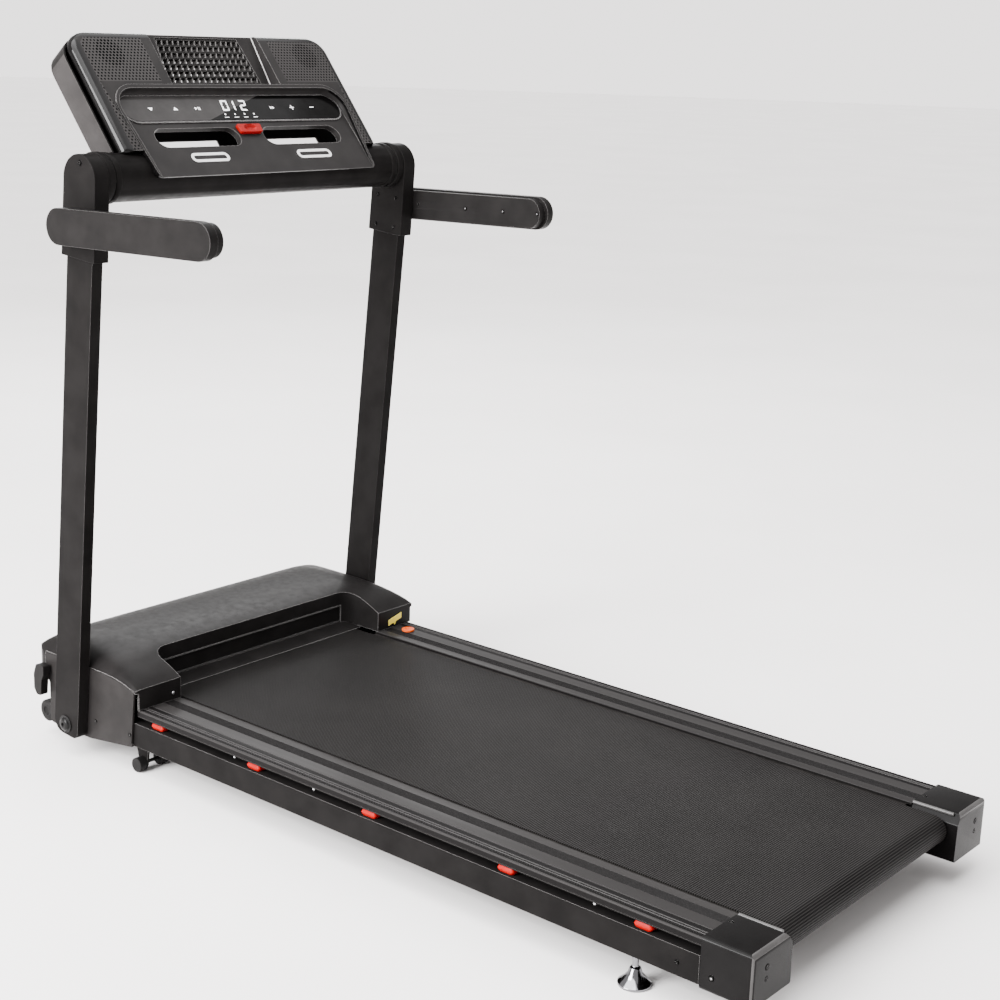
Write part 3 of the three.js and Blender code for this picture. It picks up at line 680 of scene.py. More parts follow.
cover_seam = smooth_line([(1162, 142), (1186, 150.5), (1215, 155.2), (1250, 157), (1300, 157)], 6)
shell = cut(cut(hood_form(0), hood_bay(0)), cut(hood_form(3), hood_bay(3)))
shell = cut(shell, block(-400, 400, 1100, bay_front + 6, 0, hood_box[4] + 64.1))
shell = cut(shell, block(-400, 400, 1100, 1500, 0, 49.5))
for name, side in SIDES:
    seam = prism([(1100, 0), (1402, 0), (1402, 157)] + cover_seam[::-1] + [(1100, 142)], "x", 322, 340)
    shell = cut(shell, mirrored(seam, side))
    shell = cut(shell, mirrored(block(290, 400, 1340, 1500, 0, 108), side))
for tool in (block(176.6, 205.4, 1400, 1500, 71.6, 96.4), block(221.6, 246.4, 1400, 1500, 71.6, 96.4),
             rod("y", (156, 84), 7.5, 1400, 1500)):
    shell = cut(shell, tool)
# A step runs along the rear wall, where the hood's lip overlaps the inner guard.
shell = cut(shell, block(-bay_half + 22, bay_half - 22, bay_front - 1, bay_front + 1.6, 100, 153))
# The hood's pale edge colour is a painted highlight along its edges.
hood_look = finish("Black moulded hood", (0.0075, 0.0069, 0.0068), 0.36, 0.0, 0.55, 0.035, 0.3,
                   edge=(0.2, 0.193, 0.19), edge_width=1.3, specular=0.045)
hood = new_piece("hood_moulding", shell, hood_look, "frame", ["hood"], edge=1.4,
                 segments=3, angle=32)
# Two glossy beads run along the rear wall. Their pale edge colour is a painted highlight for the light lines
# along the wall.
guard = joined(rod("x", (bay_front + 0.4, 151.5), 1.5, -bay_half + 20, bay_half - 20),
               rod("x", (bay_front + 0.8, 121.5), 1.8, -bay_half + 20, bay_half - 20))
new_piece("hood_guard_beads", guard, gloss_plastic, "frame")
# A sloping lip closes the slot between the rear wall and the belt as it turns under.
lip_profile = [(front_y + 2, belt_top + 0.9), (front_y + 4, belt_top + 2.4),
               (bay_front - 0.6, belt_top + 10.5),
               (bay_front - 0.6, belt_top + 2.5), (front_y + 20, belt_top + 0.9)]
lip_plan = rounded([(-bay_half + 0.6, 1180), (bay_half - 0.6, 1180), (bay_half - 0.6, bay_front - 0.6),
                    (-bay_half + 0.6, bay_front - 0.6)], [0, 0, 29.4, 29.4], 10)
lip = common(prism(lip_profile, "x", -bay_half + 0.6, bay_half - 0.6), prism(lip_plan, "z", 60, 160))
new_piece("hood_belt_lip", lip, hood_look, "frame", edge=0.6)
# The side cover's pale edge colour is a painted highlight along its edges.
cover_look = finish("Satin side cover", (0.0115, 0.0105, 0.0103), 0.4, 0.0, 0.5, 0.03, 0.25,
                    edge=(0.17, 0.163, 0.16), edge_width=0.9, specular=0.045)
cover_edge = (rounded([(1162, 50), (1285, 33), (1392, 33), (1392, 105)], [3, 20, 8, 0], 6)
              + [(1401, 112), (1401, 156.4)] + [(y, z - 0.6) for y, z in cover_seam[::-1] if z > 143])
for name, side in SIDES:
    cover = cut(prism(cover_edge, "x", 323.4, 328), rod("x", (1320, 55), 9, 320, 330))
    new_piece(f"side_cover_{name}_panel", mirrored(cover, side), cover_look, "frame",
              [f"side_cover_{name}"], edge=1.0, angle=50)
    # Felt strips close the gap between the belt and the hood's arms.
    felt = mirrored(block(226.4, 234.4, 1164, 1240, 99, 104), side)
    new_piece(f"arm_felt_{name}", felt, look["rubber"], "frame", edge=0.8)
print("hood", len(hood.data.polygons), "faces")

# %% [markdown]
# ## Everything else that keeps its CAD shape
# The frame, the tubes, the caps and the inner parts already have their true shape. Each one is
# taken over as a clean mesh, its flat faces joined and its edges broken by about a millimetre,
# because a knife-sharp edge never catches light and a real one does.

# %% Carry over the remaining parts
def carried(node, edge, angle=38, segments=2, material=None, matrix=None):
    """A CAD part as a clean mesh with joined flat faces and broken edges."""
    bm = bmesh.new()
    bm.from_mesh(frame["nodes"][node].data)
    if matrix is not None:
        bmesh.ops.transform(bm, matrix=matrix.inverted(), verts=bm.verts)
    bmesh.ops.remove_doubles(bm, verts=bm.verts, dist=2e-6)
    bmesh.ops.dissolve_limit(bm, angle_limit=math.radians(0.6), verts=bm.verts, edges=bm.edges)
    slot = slot_of_node[node]
    return new_piece(node + "_finished", bm, material or look[slot], body_of_node[node], [node], edge,
                     angle, matrix, segments)


edges = {"base_frame": 1.2, "upright_left": 2.4, "upright_right": 2.4, "grip_inner_left": 2.0,
         "grip_inner_right": 2.0, "grip_outer_left": 4.0,
         "grip_outer_right": 4.0, "cross_tube": 0.5, "lock_lever": 1.6}
special = {"walking_belt", "foot_rail_left", "foot_rail_right", "hood", "console_back", "console_face",
           "display_panel", "tablet_grille", "safety_key", "head_bracket_left", "head_bracket_right",
           "end_cap_left", "end_cap_right", "side_cover_left", "side_cover_right"}
special |= {f"cushion_{n}_{i}" for n, s in SIDES for i in range(1, 6)}
dark_bolts = {"pivot_bolt_left", "pivot_bolt_right", "tension_bolt_left", "tension_bolt_right", "front_axle",
              "rear_axle", "front_roller"}
for node in frame["nodes"]:
    if node not in special:
        finish_for = look["dark_steel"] if node in dark_bolts else None
        carried(node, edges.get(node, 0.6), material=finish_for)
print(len(frame["nodes"]) - len(special), "parts carried over")

# %% [markdown]
# ## Screws
# Pan head screws hold the covers, the caps and the grips. Each head is turned with a rounded rim
# and a round socket sunk in it, and blackened, so that it shows as a dark dot. Its thin light rim
# is a painted highlight along the head's edges. On some screws a small bright steel pin stands in
# the socket: a painted highlight for the glint there.

# %% Screws
# The screws' pale edge colour is a painted highlight on the rim of each head.
screw_look = finish("Blackened screw", (0.0012, 0.0011, 0.0011), 0.38, 0.0, 0.3, 0.02, 0.1,
                    edge=(0.2, 0.193, 0.19), edge_width=0.35, specular=0.02)


def screw(name, x, y, z, axis, way, body, radius=3.4, height=1.6, pin=False):
    """A pan head screw that stands out along an axis, way +1 or -1; pin adds a bright steel centre, a
    painted highlight.
    """
    profile = [(0, 0), (0, radius), (height * 0.45, radius), (height * 0.85, radius * 0.86),
               (height, radius * 0.7),
               (height, radius * 0.48), (height * 0.15, radius * 0.42), (height * 0.15, 0)]
    base = {"x": x, "y": y, "z": z}[axis]
    centre = {"x": (y, z), "y": (x, z), "z": (x, y)}[axis]
    bm = turned([(base + way * t, r) for t, r in profile], axis, centre, 20)
    # The bright steel pin is a painted highlight, standing in for the glint in the socket.
    if pin:
        tip = rod(axis, centre, radius * 0.3, base, base + way * height * 0.75, 12)
        new_piece(name + "_pin", tip, look["steel"], body, angle=50)
    return new_piece(name, bm, screw_look, body, angle=50)


# The faces that the heads sit on, as distances from the middle of the machine.
cap_side, cover_side = 323, 328
bracket_inner, bracket_outer, grip_face = 326, 354, 355
for name, side in SIDES:
    screw(f"cap_side_screw_{name}", side * cap_side, 58, 65.5, "x", side, "frame", 4.2, pin=True)
    screw(f"frame_side_screw_{name}", side * cap_side, 110, 68, "x", side, "frame", 3.4)
    screw(f"cover_front_screw_{name}", side * cover_side, 1268, 68, "x", side, "frame", 3.4, 1.2)
    screw(f"cover_rear_screw_{name}", side * cover_side, 1180, 69, "x", side, "frame", 3.4, 1.2)
    screw(f"cap_upper_bolt_{name}", side * 290, 0.9, 90, "y", -1, "frame", 5.4, 1.4)
    screw(f"cap_lower_bolt_{name}", side * 290, 0.9, 74, "y", -1, "frame", 4.4, 1.2)
    screw(f"cap_top_screw_{name}", side * 264, 70, 115.6, "z", 1, "frame", 3.6, 1.0)
    for i, (y, z) in enumerate(((1265, 903), (1221, 899), (1269, 850), (1226, 847))):
        screw(f"bracket_screw_{name}_{i + 1}", side * bracket_inner, y, z, "x", -side, "uprights", 3.6)
    screw(f"bracket_bolt_{name}", side * bracket_outer, 1235, 982, "x", side, "uprights", 4.6, 1.8)
    for i, (y, z) in enumerate(((1193, 889), (1080, 891), (994, 893), (918, 895))):
        screw(f"grip_screw_{name}_{i + 1}", side * grip_face, y, z, "x", -side, f"grip_{name}", 3.6,
              1.2 if i else 0.5,
              pin=i > 0)
print("screws placed")

# %% [markdown]
# ## Rear end caps
# Each end cap closes the rail and hides the roller's tension bolt. It is a gloss moulding with a
# rolled rear edge, a thick lip beside the belt and a rounded rear corner. The faces that turn
# towards the light there have a lighter finish, which stands in for the gloss line along them.

# %% End caps
cap_look = finish("Black gloss cap", (0.0034, 0.0031, 0.0031), 0.2, 0.0, 0.7, 0.02, 0.15, specular=0.06)
cap_edge = finish("Lit edge of the cap", (0.045, 0.043, 0.0425), 0.22, 0.0, 0.7, 0.02, 0.15, specular=0.2)
for name, side in SIDES:
    outline = rounded([(229, 43), (323, 43), (323, 116), (242, 116), (231, 101)], [3, 6, 6, 7, 4], 6)
    cap = prism(outline, "y", 0, 76)
    rolled = rounded([(0, 40), (76, 40), (76, 117), (0, 117)], [4, 0, 0, 11], 8)
    cap = common(cap, prism(rolled, "x", 200, 330))
    plan = rounded([(220, 0), (323, 0), (323, 76), (220, 76)], [3, 7, 0, 0], 6)
    cap = common(cap, prism(plan, "z", 30, 130))
    lip = rod("y", (238, 113.6), 2.6, 11, 75.6)
    new_piece(f"end_cap_{name}_lip", mirrored(lip, side), cap_edge, "frame", angle=50)
    moulding = new_piece(f"end_cap_{name}_moulding", mirrored(cap, side), cap_look, "frame",
                         [f"end_cap_{name}"], edge=1.4, segments=3)
    moulding.data.materials.append(cap_edge)
    for polygon in moulding.data.polygons:
        across, back, up = polygon.normal
        if back < -0.45 and (up > 0.45 or abs(across) > 0.45):
            polygon.material_index = 1
print("end caps")

# %% [markdown]
# ## Head brackets
# The bracket at the top of each upright is a flat fabricated box with a round head that holds the
# cross tube. Its outline is the hull of the head's circle and the sleeve around the upright.

# %% Head brackets
lean = math.radians(5.27)
sleeve_foot = (1320 - (836 - 55) * math.tan(lean), 836)
head = arc(1239, 956.5, 38.5, -2, 186, 36)
feet = [(sleeve_foot[0] - 40 * math.cos(lean), sleeve_foot[1] - 40 * math.sin(lean)),
        (sleeve_foot[0] + 40 * math.cos(lean), sleeve_foot[1] + 40 * math.sin(lean))]
for name, side in SIDES:
    bm = prism(head + feet, "x", bracket_inner, bracket_outer)
    u, n = Vector((-math.sin(lean), math.cos(lean))), Vector((math.cos(lean), math.sin(lean)))
    corners = [Vector((1320, 55)) + n * a + u * b for a,
               b in ((-31.5, 700), (31.5, 700), (31.5, 877), (-31.5, 877))]
    bm = cut(bm, prism([tuple(c) for c in corners], "x", 329, 350))
    bm = cut(bm, rod("x", (1243.3, 887), 12.6, 351.6, 360))
    new_piece(f"head_bracket_{name}_box", mirrored(bm, side), look["black_paint"], "uprights",
              [f"head_bracket_{name}"], edge=3.0, segments=4)
print("head brackets")

# %% [markdown]
# ## Console
# The console is drawn in its own frame on the cross tube: x across, y up the face and z out of
# it. The back shell is a grey moulding. The black face carries perforated speaker fields, a
# tray for a tablet, and a raised pod with the display and two hand slots.

# %% Console shells
console = Matrix.Translation(at(0, 1242, 956.5)) @ Matrix.Rotation(math.radians(51), 4, "X")
pod_slope = math.atan(0.095)
pod = console @ Matrix.Translation((0, 0, 0.0404)) @ Matrix.Rotation(-pod_slope, 4, "X")


def local_block(x0, x1, y0, y1, z0, z1):
    return block(x0, x1, y0, y1, z0, z1, True)


def tapered(outlines, heights):
    """A closed loft through outlines that all have the same number of points."""
    bm = bmesh.new()
    rings = [[bm.verts.new(Vector((x, y, z)) / 1000) for x, y in line] for line, z in zip(outlines, heights)]
    for one, two in zip(rings, rings[1:]):
        for i in range(len(one)):
            j = (i + 1) % len(one)
            bm.faces.new((one[i], one[j], two[j], two[i]))
    bm.faces.new(rings[0])
    bm.faces.new(rings[-1])
    return bm


def pod_outline(inset, foot=-32.0):
    return rounded([(-238 + inset, foot), (238 - inset, foot), (257 - inset, 143 - inset),
                    (-257 + inset, 143 - inset)],
                   [10, 10, 46 - inset, 46 - inset], 10)


def stadium(x0, x1, y0, y1, steps=10):
    return rounded([(x0, y0), (x1, y0), (x1, y1), (x0, y1)], (y1 - y0) / 2 - 0.01, steps)


def console_face():
    """The moulded black face with its pod, tray, slots and seat for the cross tube."""
    insets = [0, 0, 1.0, 3.0, 6.3, 10.3, 15.0]
    outlines = [rounded([(-277 + i, 20), (277 - i, 20), (277 - i, 250 - i), (-277 + i, 250 - i)],
                        [6, 6, 38 - i, 38 - i], 10) for i in insets]
    face = tapered(outlines, [24.6, 30.0, 33.6, 37.2, 39.9, 41.5, 42.0])
    pod_body = tapered([pod_outline(0, -20), pod_outline(0), pod_outline(0)], [24.7, 41.5, 44])
    face = boolean(face, pod_body, "UNION")
    face = boolean(face, local_block(-121, 121, 141, 249, 15, 30), "UNION")
    scoop, heights = [], []
    for k in range(9):
        t = k / 8
        scoop.append(pod_outline(7 + 12 * (1 - math.sin(t * math.pi / 2)), -60))
        heights.append(29.6 + 16 * (1 - math.cos(t * math.pi / 2)))
    floor_line = [(-80, 40.4 + 0.095 * 80), (150, 40.4 - 0.095 * 150), (150, 90), (-80, 90)]
    wedge = bmesh.new()
    rings = [[wedge.verts.new(Vector((x, y, z)) / 1000) for y, z in floor_line] for x in (-300, 300)]
    for i in range(4):
        j = (i + 1) % 4
        wedge.faces.new((rings[0][i], rings[0][j], rings[1][j], rings[1][i]))
    wedge.faces.new(rings[0])
    wedge.faces.new(rings[1])
    face = cut(face, common(wedge, tapered(scoop, [h - (heights[0] - 26) for h in heights[:-1]] + [60])))
    tray = prism([(144.5, 20), (260, 33), (260, 80), (144.5, 80)], "x", -118, 118, True)
    face = cut(face, tray)
    face = cut(face, prism([(-106, 149), (100, 149), (82, 245), (-96, 245)], "z", 0, 60, True))
    for side in (-1, 1):
        slot = prism(stadium(27, 202, 26, 64), "z", 0, 80, True)
        face = cut(face, mirrored(slot, side))
    return cut(face, rod("x", (0, 0), 38.2, -300, 300, 64, True))


def perforated(name):
    """Black moulded plastic with fields of small holes to both sides of the tray."""
    material, tree, shader = nodes_of(name)
    coords = add(tree, "ShaderNodeTexCoord")

    def math_node(operation, a, b=None, c=None):
        node = add(tree, "ShaderNodeMath", operation=operation)
        for socket, value in zip(node.inputs, (a, b, c)):
            if value is None:
                continue
            if hasattr(value, "is_linked"):
                tree.links.new(value, socket)
            else:
                socket.default_value = value
        return node.outputs[0]

    split = add(tree, "ShaderNodeSeparateXYZ")
    tree.links.new(coords.outputs["Object"], split.inputs["Vector"])
    x, y, z = (math_node("MULTIPLY", split.outputs[a], 1000.0) for a in "XYZ")

    def lattice(shift):
        u = math_node("FRACT", math_node("ADD", math_node("DIVIDE", x, 6.8), 50.0 + shift))
        v = math_node("FRACT", math_node("ADD", math_node("DIVIDE", y, 11.4), 50.0 + shift))
        du = math_node("MULTIPLY", math_node("SUBTRACT", u, 0.5), 6.8)
        dv = math_node("MULTIPLY", math_node("SUBTRACT", v, 0.5), 11.4)
        return math_node("SQRT", math_node("ADD", math_node("POWER", du, 2.0), math_node("POWER", dv, 2.0)))

    nearest = math_node("MINIMUM", lattice(0.0), lattice(0.5))
    away = math_node("ABSOLUTE", x)
    speaker = math_node("SQRT", math_node("ADD", math_node("POWER", math_node("SUBTRACT", away, 212.0), 2.0),
                                          math_node("POWER", math_node("SUBTRACT", y, 205.0), 2.0)))
    size = math_node("ADD", 1.75, math_node("MULTIPLY", math_node("LESS_THAN", speaker, 26.0), 0.5))
    hole = math_node("LESS_THAN", nearest, size)
    # The fields stop short of the tray, the outer rim and the pod.
    inside = math_node("MULTIPLY", math_node("GREATER_THAN", away, 137.0),
                       math_node("LESS_THAN", away, 261.0))
    inside = math_node("MULTIPLY", inside, math_node("LESS_THAN", y, 234.0))
    inside = math_node("MULTIPLY", inside, math_node("GREATER_THAN", z, 41.8))
    corner = math_node("LESS_THAN", math_node("ADD", away, y), 261.0 + 234.0 - 11.0)
    inside = math_node("MULTIPLY", inside, corner)
    pod_side = math_node("ADD", math_node("MULTIPLY", math_node("GREATER_THAN", y, 150.0), 1.0),
                         math_node("GREATER_THAN", away,
                                   math_node("ADD", 243.0, math_node("MULTIPLY", y, 0.11))))
    inside = math_node("MULTIPLY", inside, math_node("GREATER_THAN", pod_side, 0.5))
    # The holes are painted, not cut: near black and matt, a painted shade for the dark inside of each hole.
    mask = math_node("MULTIPLY", hole, inside)
    base = ramp(tree, noise(tree, 45, 4.0), (0.013, 0.012, 0.012), (0.017, 0.0158, 0.0156))
    field = mixed(tree, inside, base, (0.031, 0.029, 0.0287))
    # The pale edge colour along the moulding's edges is a painted highlight.
    edge = mixed(tree, painted_edge_highlight(tree, 1.2), field, (0.2, 0.193, 0.19))
    tree.links.new(mixed(tree, mask, edge, (0.0008, 0.0008, 0.0008)), shader.inputs["Base Color"])
    tree.links.new(math_node("ADD", 0.34, math_node("MULTIPLY", mask, 0.6)), shader.inputs["Roughness"])
    tree.links.new(math_node("MULTIPLY", math_node("SUBTRACT", 1.0, mask), 0.05),
                   shader.inputs["Specular IOR Level"])
    height = math_node("SUBTRACT", math_node("MULTIPLY", noise(tree, 0.55, 2.0), 0.05), mask)
    bumped(tree, shader, height, 0.5, 0.5)
    return material


face_obj = new_piece("console_face_moulding", console_face(), perforated("Perforated console face"),
                     "console",
                     ["console_face"], edge=1.8, segments=4, angle=40, matrix=console)
face_obj.data.materials.append(rim_plastic)
for polygon in face_obj.data.polygons:
    x, y, z = polygon.center * 1000
    rim = (abs(x) > 262.2 or y > 235.2) and abs(x) > 119 and abs(polygon.normal.z) < 0.999
    flank = y < 143 and polygon.normal.y < 0.3 and polygon.normal.z < 0.2 and (y < -25 or abs(x) > 225)
    if rim or flank:
        polygon.material_index = 1
back_obj = carried("console_back", 4.0, segments=4, matrix=console)
back_obj.data.materials.append(look["black_plastic"])
for polygon in back_obj.data.polygons:
    if abs(polygon.normal.x) < 0.99:
        polygon.material_index = 1
# Two thin pale strips along the tray's side walls are painted highlights for the light line on each wall's
# edge.
strip = joined(*[tapered([[(x - 0.9, 146), (x + 0.9, 146), (x + 0.9, 248.5), (x - 0.9, 248.5)]] * 2,
                         (0, 1.4))
                 for x in (-116.6, 116.6)])
tray_turn = (Matrix.Translation((0, 0.1445, 0.0204)) @ Matrix.Rotation(math.atan(13 / 115.5), 4, "X")
             @ Matrix.Translation((0, -0.1445, 0)))
bmesh.ops.transform(strip, matrix=tray_turn, verts=strip.verts)
tray_highlight_look = finish("Painted highlight strip", (0.42, 0.41, 0.405), 0.3, 0.0, 0.7, 0.02, 0.15, specular=0.3)
new_piece("tray_side_highlight_strips", strip, tray_highlight_look, "console", edge=0.3, matrix=console)
print("console shells")

# %% [markdown]
# ## Tablet grille
# The tray's back is a grille of narrow slanted ribs crossed by level bars. The ribs are deep, so
# from the runner's side the openings look dark. The ribs are coloured paler than the bars, with a
# still paler edge colour: painted highlights.

# %% Tablet grille
def grille():
    slope = math.atan(13 / 115.5)
    rows, columns = 8, 15
    bars, ribs = [], []
    left = lambda v: -105.5 + (v - 149.5) * 0.105
    right = lambda v: 99.5 - (v - 149.5) * 0.19
    for i in range(rows + 1):
        v = 150.6 + i * 11.6
        bars.append(tapered([[(left(v), v - 1.5), (right(v), v - 1.5), (right(v), v + 1.5),
                              (left(v), v + 1.5)]] * 2,
                            (-7, 2.6)))
    for row in range(rows):
        v0, v1 = 150.6 + row * 11.6, 150.6 + (row + 1) * 11.6
        for k in range(columns + 1):
            x0 = left(v0) + (right(v0) - left(v0) - 6.5) * k / columns
            ribs.append(tapered([[(x0, v0), (x0 + 1.9, v0), (x0 + 5.4, v1), (x0 + 3.5, v1)]] * 2,
                                (-10.5, 2.2)))
    turn = Matrix.Translation((0, 0.1445, 0.0165)) @ Matrix.Rotation(slope, 4,
                                                                     "X") @ Matrix.Translation((0, -0.1445,
                                                                                                0))
    result = []
    for parts in (bars, ribs):
        whole = joined(*parts)
        bmesh.ops.transform(whole, matrix=turn, verts=whole.verts)
        result.append(whole)
    return result


# The ribs are the same plastic as the bars. Their paler colour and edges are painted highlights.
rib_highlight_look = finish("Slanted ribs with painted highlights", (0.06, 0.057, 0.056), 0.3, 0.0, 0.6, 0.02, 0.2,
                  edge=(0.42, 0.41, 0.40), edge_width=0.45, specular=0.1)
level_bars, slanted_ribs = grille()
new_piece("tablet_grille_bars", level_bars, look["black_plastic"], "console",
          ["tablet_grille"],
          edge=0.3, matrix=console)
new_piece("tablet_grille_ribs", slanted_ribs, rib_highlight_look, "console", edge=0.25,
          matrix=console)
print("tablet grille")

# %% [markdown]
# ## Display and safety key
# A stadium shaped lens covers the keys and the number display. The marks are printed and lit from
# behind. The lens is painted lighter on one side of a slanting line: a painted reflection. The red
# safety key is a magnet in a rounded grip with a finger hollow, and it pulls straight off.

# %% Display, marks and key
def lens_look():
    material, tree, shader = nodes_of("Smoked lens with painted reflection")
    coords = add(tree, "ShaderNodeTexCoord")
    slant = add(tree, "ShaderNodeVectorMath", operation="DOT_PRODUCT")
    slant.inputs[1].default_value = (0.38, -1.0, 0)
    tree.links.new(coords.outputs["Object"], slant.inputs[0])
    side = add(tree, "ShaderNodeMath", operation="LESS_THAN")
    side.inputs[1].default_value = -0.1054
    tree.links.new(slant.outputs["Value"], side.inputs[0])
    # One side of a slanting line is painted lighter: a painted reflection on the dark lens.
    painted_reflection = ramp(tree, noise(tree, 30, 3.0), (0.027, 0.0255, 0.0252), (0.034, 0.032, 0.0317))
    tree.links.new(mixed(tree, side.outputs[0], (0.002, 0.0018, 0.0018), painted_reflection), shader.inputs["Base Color"])
    tree.links.new(ramp(tree, noise(tree, 20, 3.0), 0.08, 0.14), shader.inputs["Roughness"])
    shader.inputs["Specular IOR Level"].default_value = 0.05
    bumped(tree, shader, noise(tree, 3, 2.0), 0.04, 0.01)
    return material


def lit_look():
    material, tree, shader = nodes_of("Lit display marks")
    tone = ramp(tree, noise(tree, 4, 2.0), (0.75, 0.75, 0.75), (0.95, 0.95, 0.95))
    tree.links.new(tone, shader.inputs["Base Color"])
    tree.links.new(tone, shader.inputs["Emission Color"])
    shader.inputs["Emission Strength"].default_value = 1.6
    shader.inputs["Roughness"].default_value = 0.5
    return material


def flat_mark(points, z0=2.62, z1=2.8):
    return prism(points, "z", z0, z1, True)


def leaning(points, x, y, lean=0.2, scale=0.9):
    return [(x + (a + b * lean) * scale, y + b) for a, b in points]


SEGMENTS = {"a": [(1.6, 22), (16, 22), (13, 19), (4.4, 19)],
            "b": [(16.4, 21.6), (13.4, 18.6), (13.4, 12.6), (16.4, 11.2)],
            "c": [(16.4, 10.8), (13.4, 9.4), (13.4, 3.4), (16.4, 0.4)],
            "d": [(1.6, 0), (4.4, 3), (13, 3), (16, 0)],
            "e": [(1.2, 0.4), (4.2, 3.4), (4.2, 9.4), (1.2, 10.8)],
            "f": [(1.2, 11.2), (4.2, 12.6), (4.2, 18.6), (1.2, 21.6)],
            "g": [(2.4, 11), (4.6, 12.4), (13, 12.4), (15.2, 11), (13, 9.6), (4.6, 9.6)]}
marks = []
for x, letters in ((-32, "abcdef"), (-17.5, "bc"), (8, "abged")):
    marks += [flat_mark(leaning(SEGMENTS[c], x, 97.5)) for c in letters]
for x in (-32, -11, 10, 31):
    marks.append(rod("z", (x, 90), 1.5, 2.62, 2.8, 14, True))
    marks.append(flat_mark([(x - 4.5, 83), (x + 4.5, 83), (x + 4.5, 83.9), (x - 4.5, 83.9)]))
marks.append(flat_mark([(-184.5, 105.5), (-175.5, 105.5), (-180, 99)]))
marks.append(flat_mark([(-134.5, 100), (-125.5, 100), (-130, 106.5)]))
marks += [flat_mark([(-89, 100), (-89, 106), (-84.5, 103)]),
          flat_mark([(-82.5, 100), (-81.3, 100), (-81.3, 106), (-82.5, 106)]),
          flat_mark([(-79.5, 100), (-78.3, 100), (-78.3, 106), (-79.5, 106)])]
marks += [flat_mark([(76, 100), (76, 106), (80, 103)]), flat_mark([(81, 100), (81, 106), (85, 103)])]
marks += [flat_mark([(121.5, 102.4), (130.5, 102.4), (130.5, 103.7), (121.5, 103.7)]),
          flat_mark([(125.4, 98), (126.6, 98), (126.6, 108), (125.4, 108)]),
          flat_mark([(168.5, 102.4), (177.5, 102.4), (177.5, 103.6), (168.5, 103.6)])]
new_piece("display_marks", joined(*marks), lit_look(), "console", matrix=pod)
lens = prism(stadium(-238, 238, 78, 130, 16), "z", 0.3, 2.6, True)
new_piece("display_lens", lens, lens_look(), "console", ["display_panel"], edge=0.7,
          segments=3,
          matrix=pod)
# The rim's pale edge colour is a painted highlight along the ridge around the display.
rim = boolean(prism(stadium(-241, 241, 75, 133, 16), "z", 0.1, 2.2, True),
              prism(stadium(-238.4, 238.4, 77.6, 130.4, 16), "z", -1, 4, True), "DIFFERENCE")
new_piece("display_rim", rim, gloss_plastic, "console", edge=0.6, matrix=pod)

key = prism(rounded([(-23, 48.5), (23, 48.5), (26, 66), (-26, 66)], [4, 4, 3, 3], 6), "z", 0.3, 7, True)
hollow = turned([(3.4, 0), (3.9, 5.5), (5.4, 8.6), (7.5, 10), (7.5, 0)], "z", (0, 0), 32, True)
bmesh.ops.scale(hollow, vec=(1.35, 0.62, 1), verts=hollow.verts)
bmesh.ops.translate(hollow, vec=(0, 0.058, 0), verts=hollow.verts)
new_piece("safety_key_grip", cut(key, hollow), look["red_plastic"], "key", ["safety_key"],
          edge=1.2,
          segments=3, matrix=pod)
bars = []
for side in (-1, 1):
    outer = prism(stadium(76, 154, -5, 13, 8), "z", 0.0, 0.5, True)
    ring = boolean(outer, prism(stadium(81, 149, 0, 8, 8), "z", -1, 2, True), "DIFFERENCE")
    bars.append(mirrored(ring, side))
silver = finish("Silver print", (0.62, 0.61, 0.605), 0.35, 0.0, 0.7, 0.01, 0.1, spread=0.08, specular=0.3)
new_piece("console_plain_bars", joined(*bars), silver, "console", matrix=pod)
print("display, key and plain bars")

# %% [markdown]
# ## Small fittings
# A plain yellow tab hangs on the right arm beside the oil port, small clips show in the gap under
# the foot rails, and a plated pin end shows on the left arm.

# %% Small fittings
# The tab's paler edge colour is a painted highlight along its edges.
tab_look = finish("Yellow plastic tab", (0.78, 0.62, 0.05), 0.4, 0.0, 0.8, 0.02, 0.15, edge=(0.9, 0.8, 0.3),
                  spread=0.08, specular=0.3)
tab = prism([(262, 119), (275, 122.2), (278, 117), (282, 124), (296, 127.5), (296, 138), (262, 129.5)],
            "y", 1160.6, 1161.8)
new_piece("yellow_tab", tab, tab_look, "frame", edge=0.3)
screw("arm_pin_left", -252, 1162, 126, "y", -1, "frame", 3.0, 1.6).data.materials[0] = look["steel"]
for name, side in SIDES:
    for i, y in enumerate((244, 764, 938)):
        clip = rod("x", (y, 99.5), 2.0, side * 317.5, side * 319.4, 14)
        new_piece(f"rail_clip_{name}_{i + 1}", clip, look["steel"], "deck")
print("fittings")

# %% [markdown]
# ## Studio
# The machine stands on a plain pale floor under large soft lights: a broad one overhead, one at
# the runner's left that rakes the sides, and a weaker one behind that draws the bright rims.

# %% Floor, light and camera
def area_light(name, place, target, size, power, colour=(1, 1, 1)):
    data = bpy.data.lights.new(name, "AREA")
    data.shape = "RECTANGLE"
    data.size, data.size_y = size
    data.energy = power
    data.color = colour
    obj = bpy.data.objects.new(name, data)
    bpy.context.scene.collection.objects.link(obj)
    obj.location = place
    obj.rotation_euler = (Vector(target) - Vector(place)).to_track_quat("-Z", "Y").to_euler()
    return obj


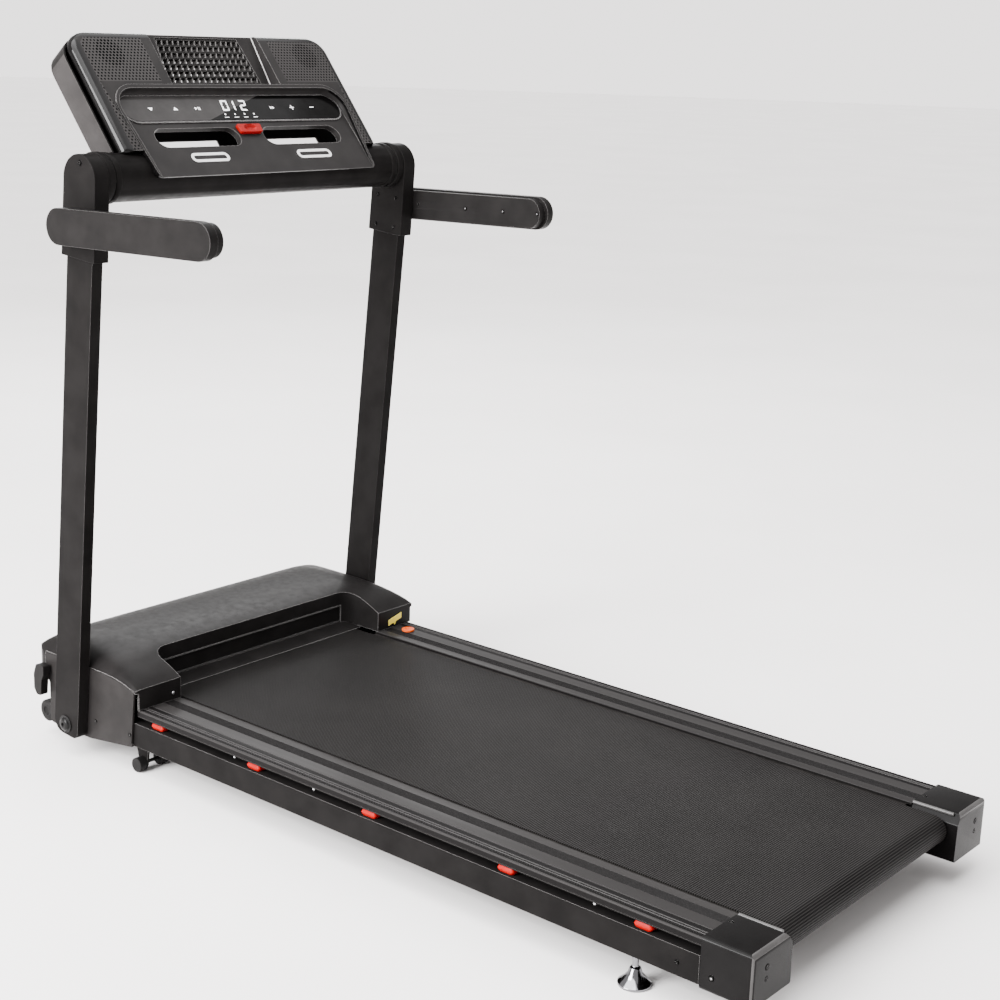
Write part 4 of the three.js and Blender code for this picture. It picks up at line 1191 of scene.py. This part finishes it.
floor_bm = bmesh.new()
bmesh.ops.create_circle(floor_bm, cap_ends=True, radius=40, segments=96)
floor_mesh = bpy.data.meshes.new("floor")
floor_bm.to_mesh(floor_mesh)
floor_bm.free()
floor = bpy.data.objects.new("floor", floor_mesh)
bpy.context.scene.collection.objects.link(floor)
floor.location.z = cad_low.z - 0.0005
floor_look, floor_tree, floor_shader = nodes_of("Pale studio floor")
tone = ramp(floor_tree, noise(floor_tree, 900, 3.0), (0.81, 0.787, 0.78), (0.85, 0.827, 0.82))
floor_tree.links.new(tone, floor_shader.inputs["Base Color"])
floor_shader.inputs["Roughness"].default_value = 0.85
floor_mesh.materials.append(floor_look)

world = bpy.data.worlds.new("studio")
bpy.context.scene.world = world
world.use_nodes = True
sky = world.node_tree
height = sky.nodes.new("ShaderNodeSeparateXYZ")
sky_place = sky.nodes.new("ShaderNodeTexCoord")
sky.links.new(sky_place.outputs["Generated"], height.inputs["Vector"])
sky_tone = ramp(sky, height.outputs["Z"], (1.0, 0.97, 0.962), (0.38, 0.372, 0.37), (0.05, 0.16))
sky.links.new(sky_tone, sky.nodes["Background"].inputs["Color"])
sky.nodes["Background"].inputs["Strength"].default_value = 2.5

area_light("overhead", (0.3, 0.0, 3.6), (0, 0, 0.3), (4.2, 4.2), 150)
area_light("left side", (-3.8, 1.0, 1.9), (0, 0.2, 0.5), (2.2, 2.4), 720)
area_light("behind", (2.2, 3.4, 2.6), (0, 0.3, 0.5), (2.6, 1.2), 90)
sun = bpy.data.lights.new("wide soft sun", "SUN")
sun.energy = 6.5
sun.angle = math.radians(55)
sun_object = bpy.data.objects.new("wide soft sun", sun)
bpy.context.scene.collection.objects.link(sun_object)
sun_object.rotation_euler = Vector((0.45, -0.12, -0.88)).to_track_quat("-Z", "Y").to_euler()

azimuth, elevation, roll = (math.radians(a) for a in (-50.576, 14.626, 1.874))
back = Vector((math.sin(azimuth) * math.cos(elevation), -math.cos(azimuth) * math.cos(elevation),
               math.sin(elevation)))
right = Vector((0, 0, 1)).cross(back).normalized()
up = back.cross(right)
turned_right = right * math.cos(roll) + up * math.sin(roll)
turned_up = up * math.cos(roll) - right * math.sin(roll)
camera_data = bpy.data.cameras.new("camera")
camera_data.sensor_width = 36
camera_data.lens = 63.6
camera = bpy.data.objects.new("camera", camera_data)
bpy.context.scene.collection.objects.link(camera)
camera.matrix_world = Matrix((turned_right, turned_up, back)).transposed().to_4x4()
camera.location = at(-2022.4, -975.2, 1182.3)
bpy.context.scene.camera = camera
